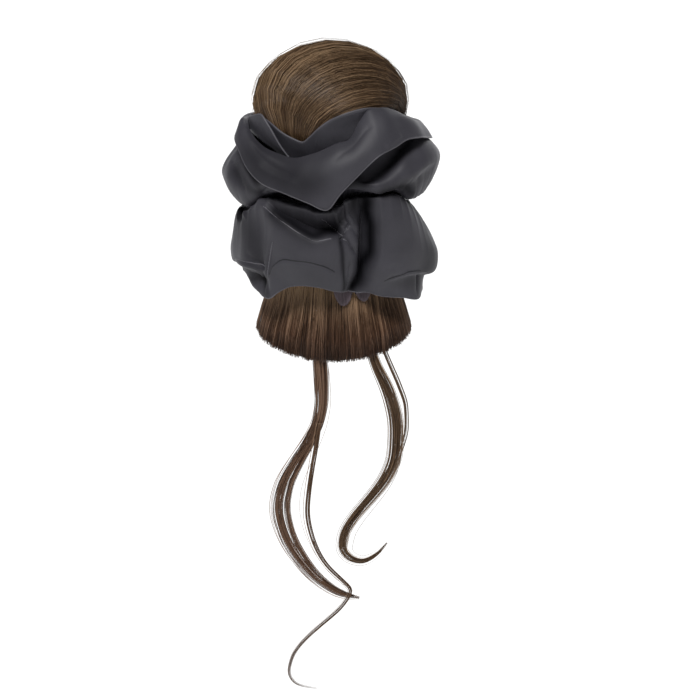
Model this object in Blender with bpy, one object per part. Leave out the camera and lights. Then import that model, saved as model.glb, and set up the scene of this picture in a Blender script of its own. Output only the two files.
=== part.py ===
"""Top knot hairpiece: a wound bun on a flared hair skirt, a double satin frill round its neck, and loose tendrils.

Metres, +Z up. The front looks along -Y. Height zero is the plane where the skirt's rim sits on the crown of a head.
Angles go round the vertical axis in degrees, from 0 at the front, positive towards +X.
"""

import bmesh
import bpy
import numpy as np

# Sizes of the hair
BUN_RADIUS = 0.0475
BUN_RISE = 0.0340
BUN_DROP = 0.0500
BUN_OFF_CENTRE = -0.0015
NECK_RADIUS = 0.0300
NECK_TOP = 0.1160
RIM_RADIUS = 0.0500
RIM_THICKNESS = 0.0070
HOLLOW_DEPTH = 0.0520
RIM_LIFT = 0.0040
LOCK_RELIEF = 0.0005

# Sizes of the satin frill and its elastic gathers
CLOTH = 0.0012
WAIST_HEIGHT = 0.0980
FRILL_RADIUS = 0.0650
UPPER_RISE = 0.0500
LOWER_DROP = 0.0650
GATHER_THICKNESS = 0.0094
GATHER_HEIGHT = 0.0150
PUCKER_DEPTH = 0.0010
CASING_LEVEL = 0.0470
CASING_THICKNESS = 0.0040
CASING_HEIGHT = 0.0075
NUB_DROP = 0.0140

# Sizes of the tendrils and the comb
TENDRIL_DROP = 0.2360
TENDRIL_SWING = 0.0400
TENDRIL_WIDTH = 0.0085
LOCK_FLATNESS = 0.45
COMB_REACH = 0.0140
COMB_PLATE = 0.0020
COMB_HEIGHT = 0.0030
COMB_SPREAD = 54.0
COMB_TEETH = 9

# Clearance between two pieces that touch on the real object, and between two layers of cloth
GAP = 0.0003
LAYER_GAP = 0.0004

ROOT_RADIUS = NECK_RADIUS + GAP + GATHER_THICKNESS + GAP
BUN_LEVEL = NECK_TOP + GAP + BUN_DROP * (1 - (NECK_RADIUS / BUN_RADIUS) ** 2) ** 0.5

# Directions, in the bun's own unit ball, of the two points where its hair gathers
BUN_START = (-0.27, -0.68, -0.68)
BUN_END = (0.84, -0.12, -0.53)

# The bun's wound locks and the grooves between them: where each lies round the ball, in degrees from the
# lower front, how wide it is, and how far it stands out as a share of BUN_RADIUS
BUN_LOCKS = [
    # turn, width, swell
    (-8, 8, -0.025),
    (-30, 10, 0.018),
    (-52, 7, -0.032),
    (-72, 10, 0.020),
    (-93, 7, -0.036),
    (-112, 10, 0.020),
    (-132, 7, -0.055),
    (-155, 12, 0.022),
    (-180, 8, -0.032),
    (152, 12, 0.018),
    (122, 8, -0.032),
    (92, 14, 0.018),
    (56, 8, -0.030),
    (25, 14, 0.016),
]

# The skirt from its rim up to the neck: height as a share of NECK_TOP, and how far it has
# narrowed from RIM_RADIUS to NECK_RADIUS
SKIRT_PROFILE = [
    # height, narrowing
    (0.00, 0.00),
    (0.08, 0.07),
    (0.20, 0.31),
    (0.32, 0.46),
    (0.45, 0.62),
    (0.60, 0.86),
    (0.74, 1.00),
    (1.00, 1.00),
]

# The skirt's hollow: height as a share of HOLLOW_DEPTH, and radius as a share of the rim's inner radius
HOLLOW_PROFILE = [
    # height, radius
    (0.00, 1.00),
    (0.45, 0.90),
    (0.80, 0.74),
    (1.00, 0.62),
]

# Each frill row below gives an angle, then pairs. A pair is a reach and a level. Reach is 0 at the
# gathers' outside and 1 at FRILL_RADIUS. Level is 0 at the waist and 1 at LOWER_DROP below it, or
# at UPPER_RISE above it.
LOWER_FRILL = [
    # angle, shoulder, pocket, ridge, belly, seam, tuck, hem
    (-180, (0.52, 0.16), (0.76, 0.20), (0.94, 0.26), (1.06, 0.46), (1.00, 0.72), (0.84, 0.77), (0.82, 0.95)),
    (-158, (0.30, 0.17), (0.44, 0.21), (0.56, 0.27), (0.70, 0.45), (0.70, 0.70), (0.62, 0.76), (0.60, 0.93)),
    (-132, (0.52, 0.18), (0.76, 0.21), (0.94, 0.29), (1.06, 0.45), (1.00, 0.68), (0.84, 0.73), (0.82, 0.90)),
    (-108, (0.40, 0.18), (0.54, 0.22), (0.68, 0.28), (0.80, 0.46), (0.76, 0.68), (0.62, 0.72), (0.60, 0.84)),
    (-90, (0.52, 0.19), (0.70, 0.22), (0.80, 0.30), (0.97, 0.62), (0.92, 0.75), (0.72, 0.78), (0.66, 0.85)),
    (-76, (0.58, 0.20), (0.76, 0.22), (0.88, 0.30), (0.99, 0.54), (0.94, 0.68), (0.66, 0.74), (0.66, 0.82)),
    (-66, (0.62, 0.18), (0.82, 0.19), (0.93, 0.25), (1.00, 0.49), (0.97, 0.63), (0.62, 0.72), (0.68, 0.84)),
    (-58, (0.62, 0.12), (0.86, 0.11), (0.98, 0.19), (1.02, 0.45), (1.02, 0.62), (0.60, 0.73), (0.70, 0.88)),
    (-50, (0.70, 0.02), (0.88, 0.01), (0.96, 0.12), (0.96, 0.42), (0.96, 0.62), (0.60, 0.73), (0.74, 0.90)),
    (-44, (0.78, -0.07), (0.88, -0.07), (0.96, 0.03), (0.88, 0.38), (0.84, 0.62), (0.64, 0.75), (0.80, 0.92)),
    (-39, (0.80, -0.08), (0.86, -0.05), (1.00, 0.00), (0.94, 0.36), (0.96, 0.62), (0.88, 0.77), (0.84, 0.91)),
    (-34, (0.82, -0.08), (0.82, 0.00), (1.01, 0.03), (1.04, 0.31), (1.02, 0.53), (0.96, 0.68), (0.84, 0.84)),
    (-24, (0.84, -0.06), (0.66, 0.09), (1.04, 0.11), (1.09, 0.32), (1.05, 0.48), (0.96, 0.62), (0.80, 0.75)),
    (-15, (0.82, -0.04), (0.54, 0.17), (1.05, 0.19), (1.10, 0.34), (1.06, 0.48), (0.96, 0.60), (0.78, 0.73)),
    (-8, (0.80, 0.00), (0.50, 0.21), (1.05, 0.24), (1.08, 0.36), (1.04, 0.50), (0.94, 0.62), (0.76, 0.74)),
    (0, (0.72, 0.00), (0.52, 0.20), (0.98, 0.23), (1.00, 0.37), (0.95, 0.53), (0.86, 0.66), (0.70, 0.78)),
    (6, (0.64, -0.05), (0.58, 0.11), (0.84, 0.25), (0.86, 0.40), (0.80, 0.57), (0.70, 0.69), (0.56, 0.81)),
    (10, (0.62, -0.10), (0.64, 0.03), (0.76, 0.17), (0.84, 0.34), (0.76, 0.55), (0.60, 0.70), (0.42, 0.83)),
    (13, (0.60, -0.11), (0.64, 0.00), (0.76, 0.14), (0.82, 0.33), (0.68, 0.57), (0.46, 0.72), (0.28, 0.84)),
    (17, (0.60, -0.12), (0.62, 0.00), (0.70, 0.15), (0.72, 0.35), (0.50, 0.59), (0.26, 0.76), (0.26, 0.86)),
    (20, (0.62, -0.12), (0.48, 0.01), (0.36, 0.19), (0.32, 0.40), (0.22, 0.63), (0.26, 0.77), (0.36, 0.86)),
    (24, (0.68, -0.12), (0.46, 0.02), (0.22, 0.21), (0.20, 0.42), (0.24, 0.63), (0.48, 0.75), (0.46, 0.85)),
    (27, (0.80, -0.12), (0.86, -0.04), (0.90, 0.13), (0.91, 0.35), (0.86, 0.59), (0.74, 0.73), (0.60, 0.85)),
    (30, (0.84, -0.13), (0.92, -0.05), (0.98, 0.12), (1.00, 0.36), (0.94, 0.61), (0.82, 0.75), (0.66, 0.87)),
    (38, (0.82, -0.13), (0.94, -0.06), (1.03, 0.11), (1.08, 0.39), (1.03, 0.64), (0.84, 0.73), (0.74, 0.90)),
    (48, (0.78, -0.06), (0.90, -0.01), (1.03, 0.16), (1.14, 0.44), (1.10, 0.66), (0.84, 0.73), (0.80, 0.94)),
    (62, (0.56, 0.05), (0.72, 0.09), (0.93, 0.25), (1.15, 0.52), (1.10, 0.72), (0.88, 0.77), (0.88, 1.01)),
    (76, (0.34, 0.11), (0.52, 0.17), (0.82, 0.34), (1.14, 0.60), (1.06, 0.79), (0.80, 0.84), (0.76, 1.02)),
    (92, (0.22, 0.15), (0.40, 0.22), (0.74, 0.39), (1.09, 0.66), (1.01, 0.83), (0.76, 0.86), (0.72, 1.02)),
    (114, (0.28, 0.19), (0.42, 0.23), (0.60, 0.30), (0.76, 0.50), (0.74, 0.72), (0.60, 0.76), (0.58, 0.90)),
    (136, (0.50, 0.18), (0.72, 0.21), (0.94, 0.26), (1.08, 0.46), (1.02, 0.71), (0.86, 0.76), (0.84, 0.94)),
    (158, (0.34, 0.18), (0.48, 0.21), (0.62, 0.27), (0.72, 0.45), (0.70, 0.69), (0.60, 0.74), (0.58, 0.88)),
]

UPPER_FRILL = [
    # angle, under, belly, bulge, brow, lip
    (-180, (0.56, -0.12), (1.00, 0.00), (1.12, 0.20), (0.84, 0.44), (0.44, 0.54)),
    (-152, (0.32, -0.12), (0.60, 0.00), (0.74, 0.20), (0.62, 0.44), (0.42, 0.54)),
    (-122, (0.52, -0.16), (0.96, -0.02), (1.08, 0.18), (0.84, 0.46), (0.44, 0.60)),
    (-104, (0.48, -0.16), (0.88, -0.02), (1.04, 0.20), (0.80, 0.52), (0.46, 0.74)),
    (-90, (0.58, -0.14), (0.92, 0.01), (1.16, 0.19), (0.90, 0.43), (0.48, 0.67)),
    (-70, (0.60, -0.17), (0.98, -0.01), (1.18, 0.24), (0.88, 0.52), (0.50, 0.73)),
    (-58, (0.62, -0.09), (0.92, -0.03), (1.08, 0.19), (0.84, 0.50), (0.48, 0.66)),
    (-50, (0.52, 0.03), (0.80, 0.04), (1.02, 0.22), (0.82, 0.46), (0.44, 0.56)),
    (-42, (0.52, 0.15), (0.80, 0.16), (1.00, 0.29), (0.86, 0.42), (0.46, 0.53)),
    (-32, (0.52, 0.23), (0.80, 0.24), (0.98, 0.37), (0.84, 0.45), (0.46, 0.50)),
    (-20, (0.52, 0.28), (0.76, 0.28), (0.94, 0.37), (0.82, 0.48), (0.46, 0.51)),
    (-8, (0.52, 0.20), (0.72, 0.21), (0.90, 0.31), (0.78, 0.43), (0.46, 0.56)),
    (3, (0.52, 0.24), (0.72, 0.25), (0.86, 0.36), (0.74, 0.47), (0.48, 0.66)),
    (12, (0.52, 0.29), (0.76, 0.30), (0.90, 0.41), (0.70, 0.52), (0.48, 0.74)),
    (21, (0.56, 0.25), (0.88, 0.27), (1.00, 0.37), (0.68, 0.54), (0.47, 0.82)),
    (29, (0.58, 0.21), (0.94, 0.23), (1.06, 0.34), (0.66, 0.58), (0.47, 0.85)),
    (36, (0.58, 0.23), (0.96, 0.25), (1.10, 0.38), (0.66, 0.65), (0.46, 0.87)),
    (42, (0.56, 0.22), (0.94, 0.24), (1.14, 0.44), (0.68, 0.71), (0.46, 0.88)),
    (48, (0.54, 0.13), (0.94, 0.10), (1.16, 0.46), (0.72, 0.75), (0.45, 0.88)),
    (60, (0.46, 0.07), (0.86, 0.03), (1.18, 0.51), (0.86, 0.74), (0.45, 0.84)),
    (76, (0.38, 0.04), (0.74, 0.01), (1.17, 0.46), (0.97, 0.66), (0.43, 0.78)),
    (92, (0.28, 0.07), (0.68, 0.01), (1.12, 0.38), (0.94, 0.56), (0.42, 0.72)),
    (114, (0.32, -0.12), (0.68, 0.00), (0.90, 0.26), (0.70, 0.46), (0.40, 0.58)),
    (138, (0.48, -0.14), (0.96, -0.02), (1.10, 0.20), (0.84, 0.44), (0.42, 0.54)),
    (160, (0.36, -0.12), (0.68, 0.00), (0.82, 0.20), (0.66, 0.44), (0.42, 0.54)),
]

COLLAR = [
    # angle, inside, lip, shoulder, drape, edge
    (-180, (0.45, 0.60), (0.48, 0.71), (0.64, 0.70), (0.84, 0.60), (1.04, 0.45)),
    (-150, (0.43, 0.60), (0.46, 0.71), (0.60, 0.70), (0.72, 0.60), (0.88, 0.49)),
    (-122, (0.45, 0.68), (0.49, 0.79), (0.64, 0.77), (0.80, 0.68), (0.96, 0.55)),
    (-105, (0.44, 0.76), (0.47, 0.88), (0.58, 0.87), (0.68, 0.80), (0.76, 0.70)),
    (-90, (0.48, 0.76), (0.51, 0.89), (0.60, 0.90), (0.66, 0.86), (0.70, 0.78)),
    (-76, (0.54, 0.80), (0.58, 0.92), (0.68, 0.95), (0.77, 0.91), (0.82, 0.82)),
    (-66, (0.57, 0.75), (0.62, 0.87), (0.74, 0.92), (0.90, 0.87), (1.00, 0.75)),
    (-58, (0.60, 0.67), (0.65, 0.79), (0.82, 0.84), (0.98, 0.78), (1.08, 0.66)),
    (-51, (0.62, 0.64), (0.68, 0.75), (0.86, 0.78), (1.04, 0.68), (1.14, 0.53)),
    (-44, (0.62, 0.62), (0.70, 0.72), (0.90, 0.72), (1.08, 0.60), (1.18, 0.44)),
    (-36, (0.60, 0.59), (0.70, 0.69), (0.92, 0.67), (1.10, 0.52), (1.20, 0.35)),
    (-24, (0.56, 0.54), (0.68, 0.65), (0.92, 0.61), (1.12, 0.48), (1.22, 0.29)),
    (-11, (0.58, 0.62), (0.70, 0.73), (0.96, 0.66), (1.20, 0.46), (1.28, 0.20)),
    (-2, (0.62, 0.70), (0.72, 0.82), (1.02, 0.74), (1.26, 0.51), (1.33, 0.12)),
    (4, (0.62, 0.77), (0.72, 0.88), (1.04, 0.80), (1.26, 0.59), (1.32, 0.31)),
    (11, (0.62, 0.81), (0.69, 0.91), (0.98, 0.86), (1.22, 0.71), (1.30, 0.49)),
    (19, (0.53, 1.03), (0.58, 1.12), (0.88, 1.02), (1.16, 0.83), (1.27, 0.67)),
    (26, (0.53, 1.15), (0.58, 1.26), (0.80, 1.16), (1.10, 0.95), (1.24, 0.78)),
    (34, (0.54, 1.15), (0.59, 1.26), (0.82, 1.18), (1.06, 1.02), (1.19, 0.83)),
    (44, (0.52, 1.08), (0.57, 1.20), (0.78, 1.14), (0.98, 1.01), (1.10, 0.88)),
    (56, (0.50, 0.97), (0.54, 1.07), (0.74, 1.05), (0.92, 0.96), (1.04, 0.84)),
    (70, (0.47, 0.84), (0.50, 0.96), (0.66, 0.95), (0.84, 0.87), (0.97, 0.76)),
    (88, (0.43, 0.73), (0.46, 0.86), (0.61, 0.85), (0.77, 0.77), (0.91, 0.65)),
    (114, (0.44, 0.68), (0.46, 0.79), (0.61, 0.78), (0.72, 0.70), (0.81, 0.59)),
    (146, (0.44, 0.60), (0.47, 0.71), (0.62, 0.70), (0.78, 0.60), (0.96, 0.48)),
]

INNER_COLLAR = [
    # angle, foot, middle, edge
    (-180, (0.10, 0.46), (0.26, 0.58), (0.34, 0.72)),
    (-112, (0.10, 0.48), (0.28, 0.66), (0.36, 0.84)),
    (-76, (0.10, 0.44), (0.30, 0.72), (0.42, 0.90)),
    (-56, (0.10, 0.47), (0.32, 0.77), (0.43, 1.03)),
    (-47, (0.10, 0.48), (0.32, 0.76), (0.44, 1.01)),
    (-37, (0.09, 0.48), (0.30, 0.72), (0.44, 0.93)),
    (-28, (0.07, 0.47), (0.24, 0.67), (0.40, 0.86)),
    (-21, (0.06, 0.47), (0.22, 0.66), (0.36, 0.82)),
    (-15, (0.07, 0.49), (0.24, 0.72), (0.38, 0.90)),
    (-8, (0.08, 0.52), (0.27, 0.79), (0.41, 1.03)),
    (2, (0.10, 0.55), (0.30, 0.86), (0.45, 1.15)),
    (13, (0.10, 0.56), (0.31, 0.91), (0.48, 1.23)),
    (24, (0.10, 0.56), (0.31, 0.92), (0.50, 1.26)),
    (34, (0.10, 0.55), (0.31, 0.89), (0.50, 1.24)),
    (44, (0.10, 0.55), (0.31, 0.87), (0.48, 1.18)),
    (56, (0.10, 0.54), (0.30, 0.80), (0.44, 1.03)),
    (70, (0.10, 0.51), (0.29, 0.74), (0.40, 0.91)),
    (90, (0.10, 0.50), (0.28, 0.65), (0.37, 0.81)),
    (120, (0.10, 0.48), (0.27, 0.62), (0.35, 0.76)),
]

INNER_FLAP = [
    # angle, foot, middle, edge
    (-76, (0.46, 0.79), (0.49, 0.89), (0.51, 0.97)),
    (-66, (0.46, 0.78), (0.54, 0.93), (0.60, 1.03)),
    (-57, (0.45, 0.75), (0.55, 0.94), (0.62, 1.09)),
    (-51, (0.43, 0.71), (0.54, 0.93), (0.61, 1.12)),
    (-47, (0.42, 0.70), (0.54, 0.88), (0.60, 1.05)),
    (-42, (0.40, 0.66), (0.52, 0.80), (0.59, 0.95)),
    (-36, (0.38, 0.60), (0.50, 0.71), (0.57, 0.79)),
    (-29, (0.34, 0.52), (0.46, 0.57), (0.53, 0.63)),
]

# Nubs of the lower casing that show under the hem: angle, half width in degrees and drop as a share of NUB_DROP
CASING_NUBS = [
    # angle, half width, drop
    (10, 9, 1.0),
    (28, 9, 0.9),
]

# Tendril spines: drop below the rim as a share of TENDRIL_DROP, place across as a share of
# TENDRIL_SWING, setback from the spine's start in the same share, and width as a share of TENDRIL_WIDTH
LEFT_TENDRIL = [
    # drop, across, setback, width
    (0.000, -0.20, 0.00, 0.86),
    (0.070, -0.16, 0.02, 0.94),
    (0.130, -0.15, 0.05, 0.92),
    (0.190, -0.20, 0.09, 0.88),
    (0.240, -0.31, 0.12, 0.92),
    (0.320, -0.56, 0.16, 1.04),
    (0.395, -0.76, 0.19, 1.12),
    (0.460, -0.82, 0.20, 1.06),
    (0.530, -0.74, 0.19, 0.90),
    (0.610, -0.50, 0.17, 0.72),
    (0.670, -0.20, 0.14, 0.56),
    (0.708, 0.14, 0.11, 0.40),
    (0.722, 0.47, 0.08, 0.16),
]

LEFT_CURL = [
    # drop, across, setback, width
    (0.190, -0.18, 0.00, 0.24),
    (0.250, -0.23, -0.02, 0.34),
    (0.328, -0.31, -0.05, 0.36),
    (0.395, -0.37, -0.07, 0.38),
    (0.455, -0.40, -0.09, 0.38),
    (0.530, -0.32, -0.10, 0.34),
    (0.605, -0.12, -0.10, 0.28),
    (0.660, 0.18, -0.09, 0.24),
    (0.690, 0.31, -0.08, 0.22),
    (0.740, 0.16, -0.06, 0.20),
    (0.800, -0.20, -0.04, 0.18),
    (0.854, -0.50, -0.02, 0.17),
    (0.900, -0.66, 0.00, 0.16),
    (0.950, -0.72, 0.02, 0.14),
    (0.988, -0.58, 0.03, 0.12),
    (1.000, -0.22, 0.03, 0.10),
]

RIGHT_TENDRIL = [
    # drop, across, setback, width
    (0.000, 0.60, 0.00, 0.80),
    (0.050, 0.71, 0.00, 0.84),
    (0.100, 0.86, 0.00, 0.88),
    (0.150, 0.96, 0.01, 0.90),
    (0.220, 1.03, 0.03, 0.94),
    (0.300, 1.01, 0.05, 0.96),
    (0.370, 0.87, 0.06, 0.94),
    (0.437, 0.60, 0.07, 0.88),
    (0.490, 0.36, 0.07, 0.84),
    (0.540, 0.20, 0.05, 0.80),
    (0.580, 0.17, 0.03, 0.70),
    (0.608, 0.28, 0.00, 0.54),
    (0.618, 0.48, -0.02, 0.38),
    (0.598, 0.71, -0.04, 0.22),
    (0.556, 0.91, -0.05, 0.08),
]

RIGHT_WISP = [
    # drop, across, setback, width
    (0.000, 0.77, 0.10, 0.22),
    (0.057, 0.94, 0.14, 0.26),
    (0.118, 1.09, 0.18, 0.28),
    (0.180, 1.19, 0.22, 0.26),
    (0.240, 1.20, 0.24, 0.22),
    (0.300, 1.13, 0.25, 0.17),
    (0.350, 1.02, 0.25, 0.13),
    (0.400, 0.86, 0.25, 0.08),
]

# Mesh steps
FRONT_STEP = 4.8
BACK_STEP = 9.0
FRONT_HALF = 101.2
SKIRT_COLUMNS = 48
FLOW_COLUMNS = 48
FLOW_ROWS = 16
TUBE_SIDES = 6
TUBE_STEPS = 2

COLOURS = {
    # slot: (red, green, blue, roughness)
    "hair": (0.075, 0.040, 0.020, 0.45),
    "satin": (0.022, 0.022, 0.027, 0.50),
    "plastic": (0.030, 0.022, 0.018, 0.40),
}


def clear_scene():
    for obj in list(bpy.data.objects):
        bpy.data.objects.remove(obj)


def material(slot):
    found = bpy.data.materials.get(slot)
    if found:
        return found
    red, green, blue, roughness = COLOURS[slot]
    made = bpy.data.materials.new(slot)
    made.use_nodes = True
    shader = made.node_tree.nodes["Principled BSDF"]
    shader.inputs["Base Color"].default_value = (red, green, blue, 1)
    shader.inputs["Roughness"].default_value = roughness
    shader.inputs["Metallic"].default_value = 0
    return made


def add_object(name, points, faces, slot):
    """A named object from points and faces, shaded smooth except at its edges."""
    mesh = bpy.data.meshes.new(name)
    mesh.from_pydata([tuple(p) for p in points], [], faces)
    bm = bmesh.new()
    bm.from_mesh(mesh)
    bmesh.ops.recalc_face_normals(bm, faces=bm.faces)
    bm.to_mesh(mesh)
    bm.free()
    mesh.shade_smooth()
    mesh.set_sharp_from_angle(angle=np.radians(50))
    mesh.materials.append(material(slot))
    obj = bpy.data.objects.new(name, mesh)
    bpy.context.collection.objects.link(obj)
    return obj


def slopes_at(knots, values):
    """Slope at each inner knot of a curve that never overshoots its knots: zero at a peak or a dip."""
    steps = np.diff(knots)[:, None]
    rises = np.diff(values, axis=0) / steps
    before, after = rises[:-1], rises[1:]
    short, long = steps[:-1], steps[1:]
    first, second = 2 * long + short, long + 2 * short
    same_way = before * after > 0
    safe_before = np.where(same_way, before, 1)
    safe_after = np.where(same_way, after, 1)
    mean = (first + second) / (first / safe_before + second / safe_after)
    return np.where(same_way, mean, 0), rises


def smooth_curve(knots, values, at, period=None):
    """Values at the places asked for, on a smooth curve through the knots. With a period, the curve is a closed one."""
    knots = np.asarray(knots, float)
    flat = np.asarray(values, float).reshape(len(knots), -1)
    at = np.asarray(at, float)
    if period:
        knots = np.concatenate([knots[-2:] - period, knots, knots[:2] + period])
        flat = np.concatenate([flat[-2:], flat, flat[:2]])
        at = knots[2] + (at - knots[2]) % period
    inner, rises = slopes_at(knots, flat)
    slopes = np.concatenate([rises[:1], inner, rises[-1:]])
    span = np.clip(np.searchsorted(knots, at, side="right") - 1, 0, len(knots) - 2)
    width = (knots[span + 1] - knots[span])[:, None]
    t = (at[:, None] - knots[span][:, None]) / width
    start, end = flat[span], flat[span + 1]
    found = (
        start * (1 + 2 * t) * (1 - t) ** 2
        + slopes[span] * width * t * (1 - t) ** 2
        + end * t**2 * (3 - 2 * t)
        + slopes[span + 1] * width * t**2 * (t - 1)
    )
    return found.reshape((len(at),) + np.shape(values)[1:])


def ring_angles():
    """Column angles round a frill, close together in front and wider behind."""
    front = np.linspace(-FRONT_HALF, FRONT_HALF, round(2 * FRONT_HALF / FRONT_STEP) + 1)
    back_span = 360 - 2 * FRONT_HALF
    back = np.linspace(FRONT_HALF, FRONT_HALF + back_span, round(back_span / BACK_STEP) + 1)
    return np.concatenate([front, back[1:-1]])


def on_ring(angle, radius, height):
    """The point at an angle in degrees, a radius from the axis and a height."""
    turn = np.radians(angle)
    return np.stack([radius * np.sin(turn), -radius * np.cos(turn), height + 0 * turn], axis=-1)


def grid_faces(columns, rows, closed):
    """Quads of a grid of points that is counted row by row inside each column."""
    faces = []
    for c in range(columns if closed else columns - 1):
        nearby = (c + 1) % columns
        for r in range(rows - 1):
            faces.append((c * rows + r, nearby * rows + r, nearby * rows + r + 1, c * rows + r + 1))
    return faces


def cloth_grid(rows, level_size, angles, steps, closed=True):
    """Points of a frill's outer face: a smooth surface through a table's rows and their pairs."""
    knots = [row[0] for row in rows]
    pairs = np.array([row[1:] for row in rows], float)
    profiles = smooth_curve(knots, pairs, angles, 360 if closed else None)
    stations = np.arange(pairs.shape[1])
    samples = np.linspace(0, stations[-1], steps * stations[-1] + 1)
    grid = np.stack([smooth_curve(stations, profile, samples) for profile in profiles])
    radius = ROOT_RADIUS + grid[..., 0] * (FRILL_RADIUS - ROOT_RADIUS)
    height = WAIST_HEIGHT + grid[..., 1] * level_size
    return on_ring(np.asarray(angles)[:, None], radius, height)


def add_cloth(name, grid, closed=True):
    """A cloth wall of even thickness, whose outer face is the grid."""
    columns, rows = grid.shape[:2]
    obj = add_object(name, grid.reshape(-1, 3), grid_faces(columns, rows, closed), "satin")
    thicken = obj.modifiers.new("cloth", "SOLIDIFY")
    thicken.thickness = CLOTH
    thicken.offset = 0
    return obj


def with_root(rows, root):
    """A frill's rows, each with the same first pair added where the cloth leaves the gathers."""
    return [(row[0], root) + row[1:] for row in rows]


def dense(profile):
    """A profile's points with more points between them."""
    steps = np.linspace(0, len(profile) - 1, 8 * (len(profile) - 1) + 1)
    ranks = np.arange(len(profile))
    return np.stack([np.interp(steps, ranks, profile[:, 0]), np.interp(steps, ranks, profile[:, 1])], axis=1)


def lay_outside(grid, below, clearance):
    """Moves a cloth's points out from the axis until they clear the layer below, column by column."""
    radius = np.hypot(grid[..., 0], grid[..., 1])
    below_radius = np.hypot(below[..., 0], below[..., 1])
    clear = radius.copy()
    for c in range(len(grid)):
        under = dense(np.stack([below_radius[c], below[c, :, 2]], axis=1))
        away = grid[c, :, 2][:, None] - under[:, 1][None, :]
        near = np.abs(away) < clearance
        reach = under[:, 0][None, :] + np.sqrt(np.where(near, clearance**2 - away**2, 0))
        clear[c] = np.maximum(radius[c], np.where(near, reach, 0).max(axis=1))
    moved = grid.copy()
    moved[..., :2] *= (clear / radius)[..., None]
    return moved


def hang_below(grid, above, clearance):
    """Lowers a cloth's points until they clear the layer above, column by column."""
    radius = np.hypot(grid[..., 0], grid[..., 1])
    above_radius = np.hypot(above[..., 0], above[..., 1])
    moved = grid.copy()
    for c in range(len(grid)):
        over = dense(np.stack([above_radius[c], above[c, :, 2]], axis=1))
        away = radius[c][:, None] - over[:, 0][None, :]
        near = np.abs(away) < clearance
        level = over[:, 1][None, :] - np.sqrt(np.where(near, clearance**2 - away**2, 0))
        moved[c, :, 2] = np.minimum(grid[c, :, 2], np.where(near, level, np.inf).min(axis=1))
    return moved


def bun_envelope(angles):
    """A wall just outside the bun's lower half, as a cloth grid."""
    levels = np.linspace(NECK_TOP, BUN_LEVEL + BUN_RISE * 0.5, 12)
    size = np.where(levels < BUN_LEVEL, BUN_DROP, BUN_RISE)
    largest = 1 + max(swell for turn, width, swell in BUN_LOCKS)
    radius = BUN_RADIUS * largest * np.sqrt(1 - ((levels - BUN_LEVEL) / size) ** 2)
    grid = on_ring(np.asarray(angles)[:, None], radius[None, :], levels[None, :])
    grid[..., 0] += BUN_OFF_CENTRE
    return grid


def cloth_grids(angles):
    """The grids of all the frill's closed rings of cloth, each layer clear of the ones that it lies on."""
    layer = CLOTH + LAYER_GAP
    root_reach = CLOTH / (FRILL_RADIUS - ROOT_RADIUS)
    inner = cloth_grid(INNER_COLLAR, UPPER_RISE, angles, 1)
    inner = lay_outside(inner, bun_envelope(angles), CLOTH / 2 + 2 * LAYER_GAP)
    upper_rows = with_root(UPPER_FRILL, (root_reach, CLOTH / UPPER_RISE))
    upper = cloth_grid(upper_rows, UPPER_RISE, angles, 1)
    upper[:, 2:] = lay_outside(upper[:, 2:], inner, layer)
    collar = lay_outside(cloth_grid(COLLAR, UPPER_RISE, angles, 2), upper, layer)
    lower_rows = with_root(LOWER_FRILL, (root_reach, CLOTH / LOWER_DROP))
    lower = cloth_grid(lower_rows, -LOWER_DROP, angles, 1)
    lower[:, 1:] = hang_below(lower[:, 1:], upper, layer)
    return {"lower_frill": lower, "upper_frill": upper, "collar": collar, "inner_collar": inner}


def build_frills():
    angles = ring_angles()
    for name, grid in cloth_grids(angles).items():
        add_cloth(name, grid)
    flap_angles = np.linspace(INNER_FLAP[0][0], INNER_FLAP[-1][0], 11)
    add_cloth("inner_flap", cloth_grid(INNER_FLAP, UPPER_RISE, flap_angles, 1, closed=False), closed=False)


def skirt_radius(height):
    """Outer radius of the skirt and neck at a height."""
    table = np.array(SKIRT_PROFILE)
    share = np.interp(height / NECK_TOP, table[:, 0], table[:, 1])
    return RIM_RADIUS + (NECK_RADIUS - RIM_RADIUS) * share


def hollow_radius(height):
    """Inner radius of the skirt's hollow at a height."""
    table = np.array(HOLLOW_PROFILE)
    share = np.interp(height / HOLLOW_DEPTH, table[:, 0], table[:, 1])
    return (RIM_RADIUS - RIM_THICKNESS) * share


def build_hair_base():
    """The skirt of hair, hollow under the crown, with its cut rim in locks, and the neck above it."""
    angles = np.linspace(-180, 180, SKIRT_COLUMNS, endpoint=False)
    lift = rim_level(angles)
    relief = LOCK_RELIEF * (-1.0) ** np.arange(len(angles))
    rings = []
    for height, share in HOLLOW_PROFILE[::-1]:
        level = height * HOLLOW_DEPTH
        rings.append(on_ring(angles, hollow_radius(level), level + lift * (1 - height)))
    for height, share in SKIRT_PROFILE:
        level = height * NECK_TOP
        radius = skirt_radius(level) + relief * (1 - share)
        ragged = (lift + relief) * (1 - height) ** 5
        rings.append(on_ring(angles, radius, level + ragged))
    grid = np.stack(rings, axis=1)
    columns, rows = grid.shape[:2]
    faces = grid_faces(columns, rows, True)
    faces.append([c * rows for c in range(columns)])
    faces.append([c * rows + rows - 1 for c in range(columns)])
    add_object("hair_base", grid.reshape(-1, 3), faces, "hair")


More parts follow.
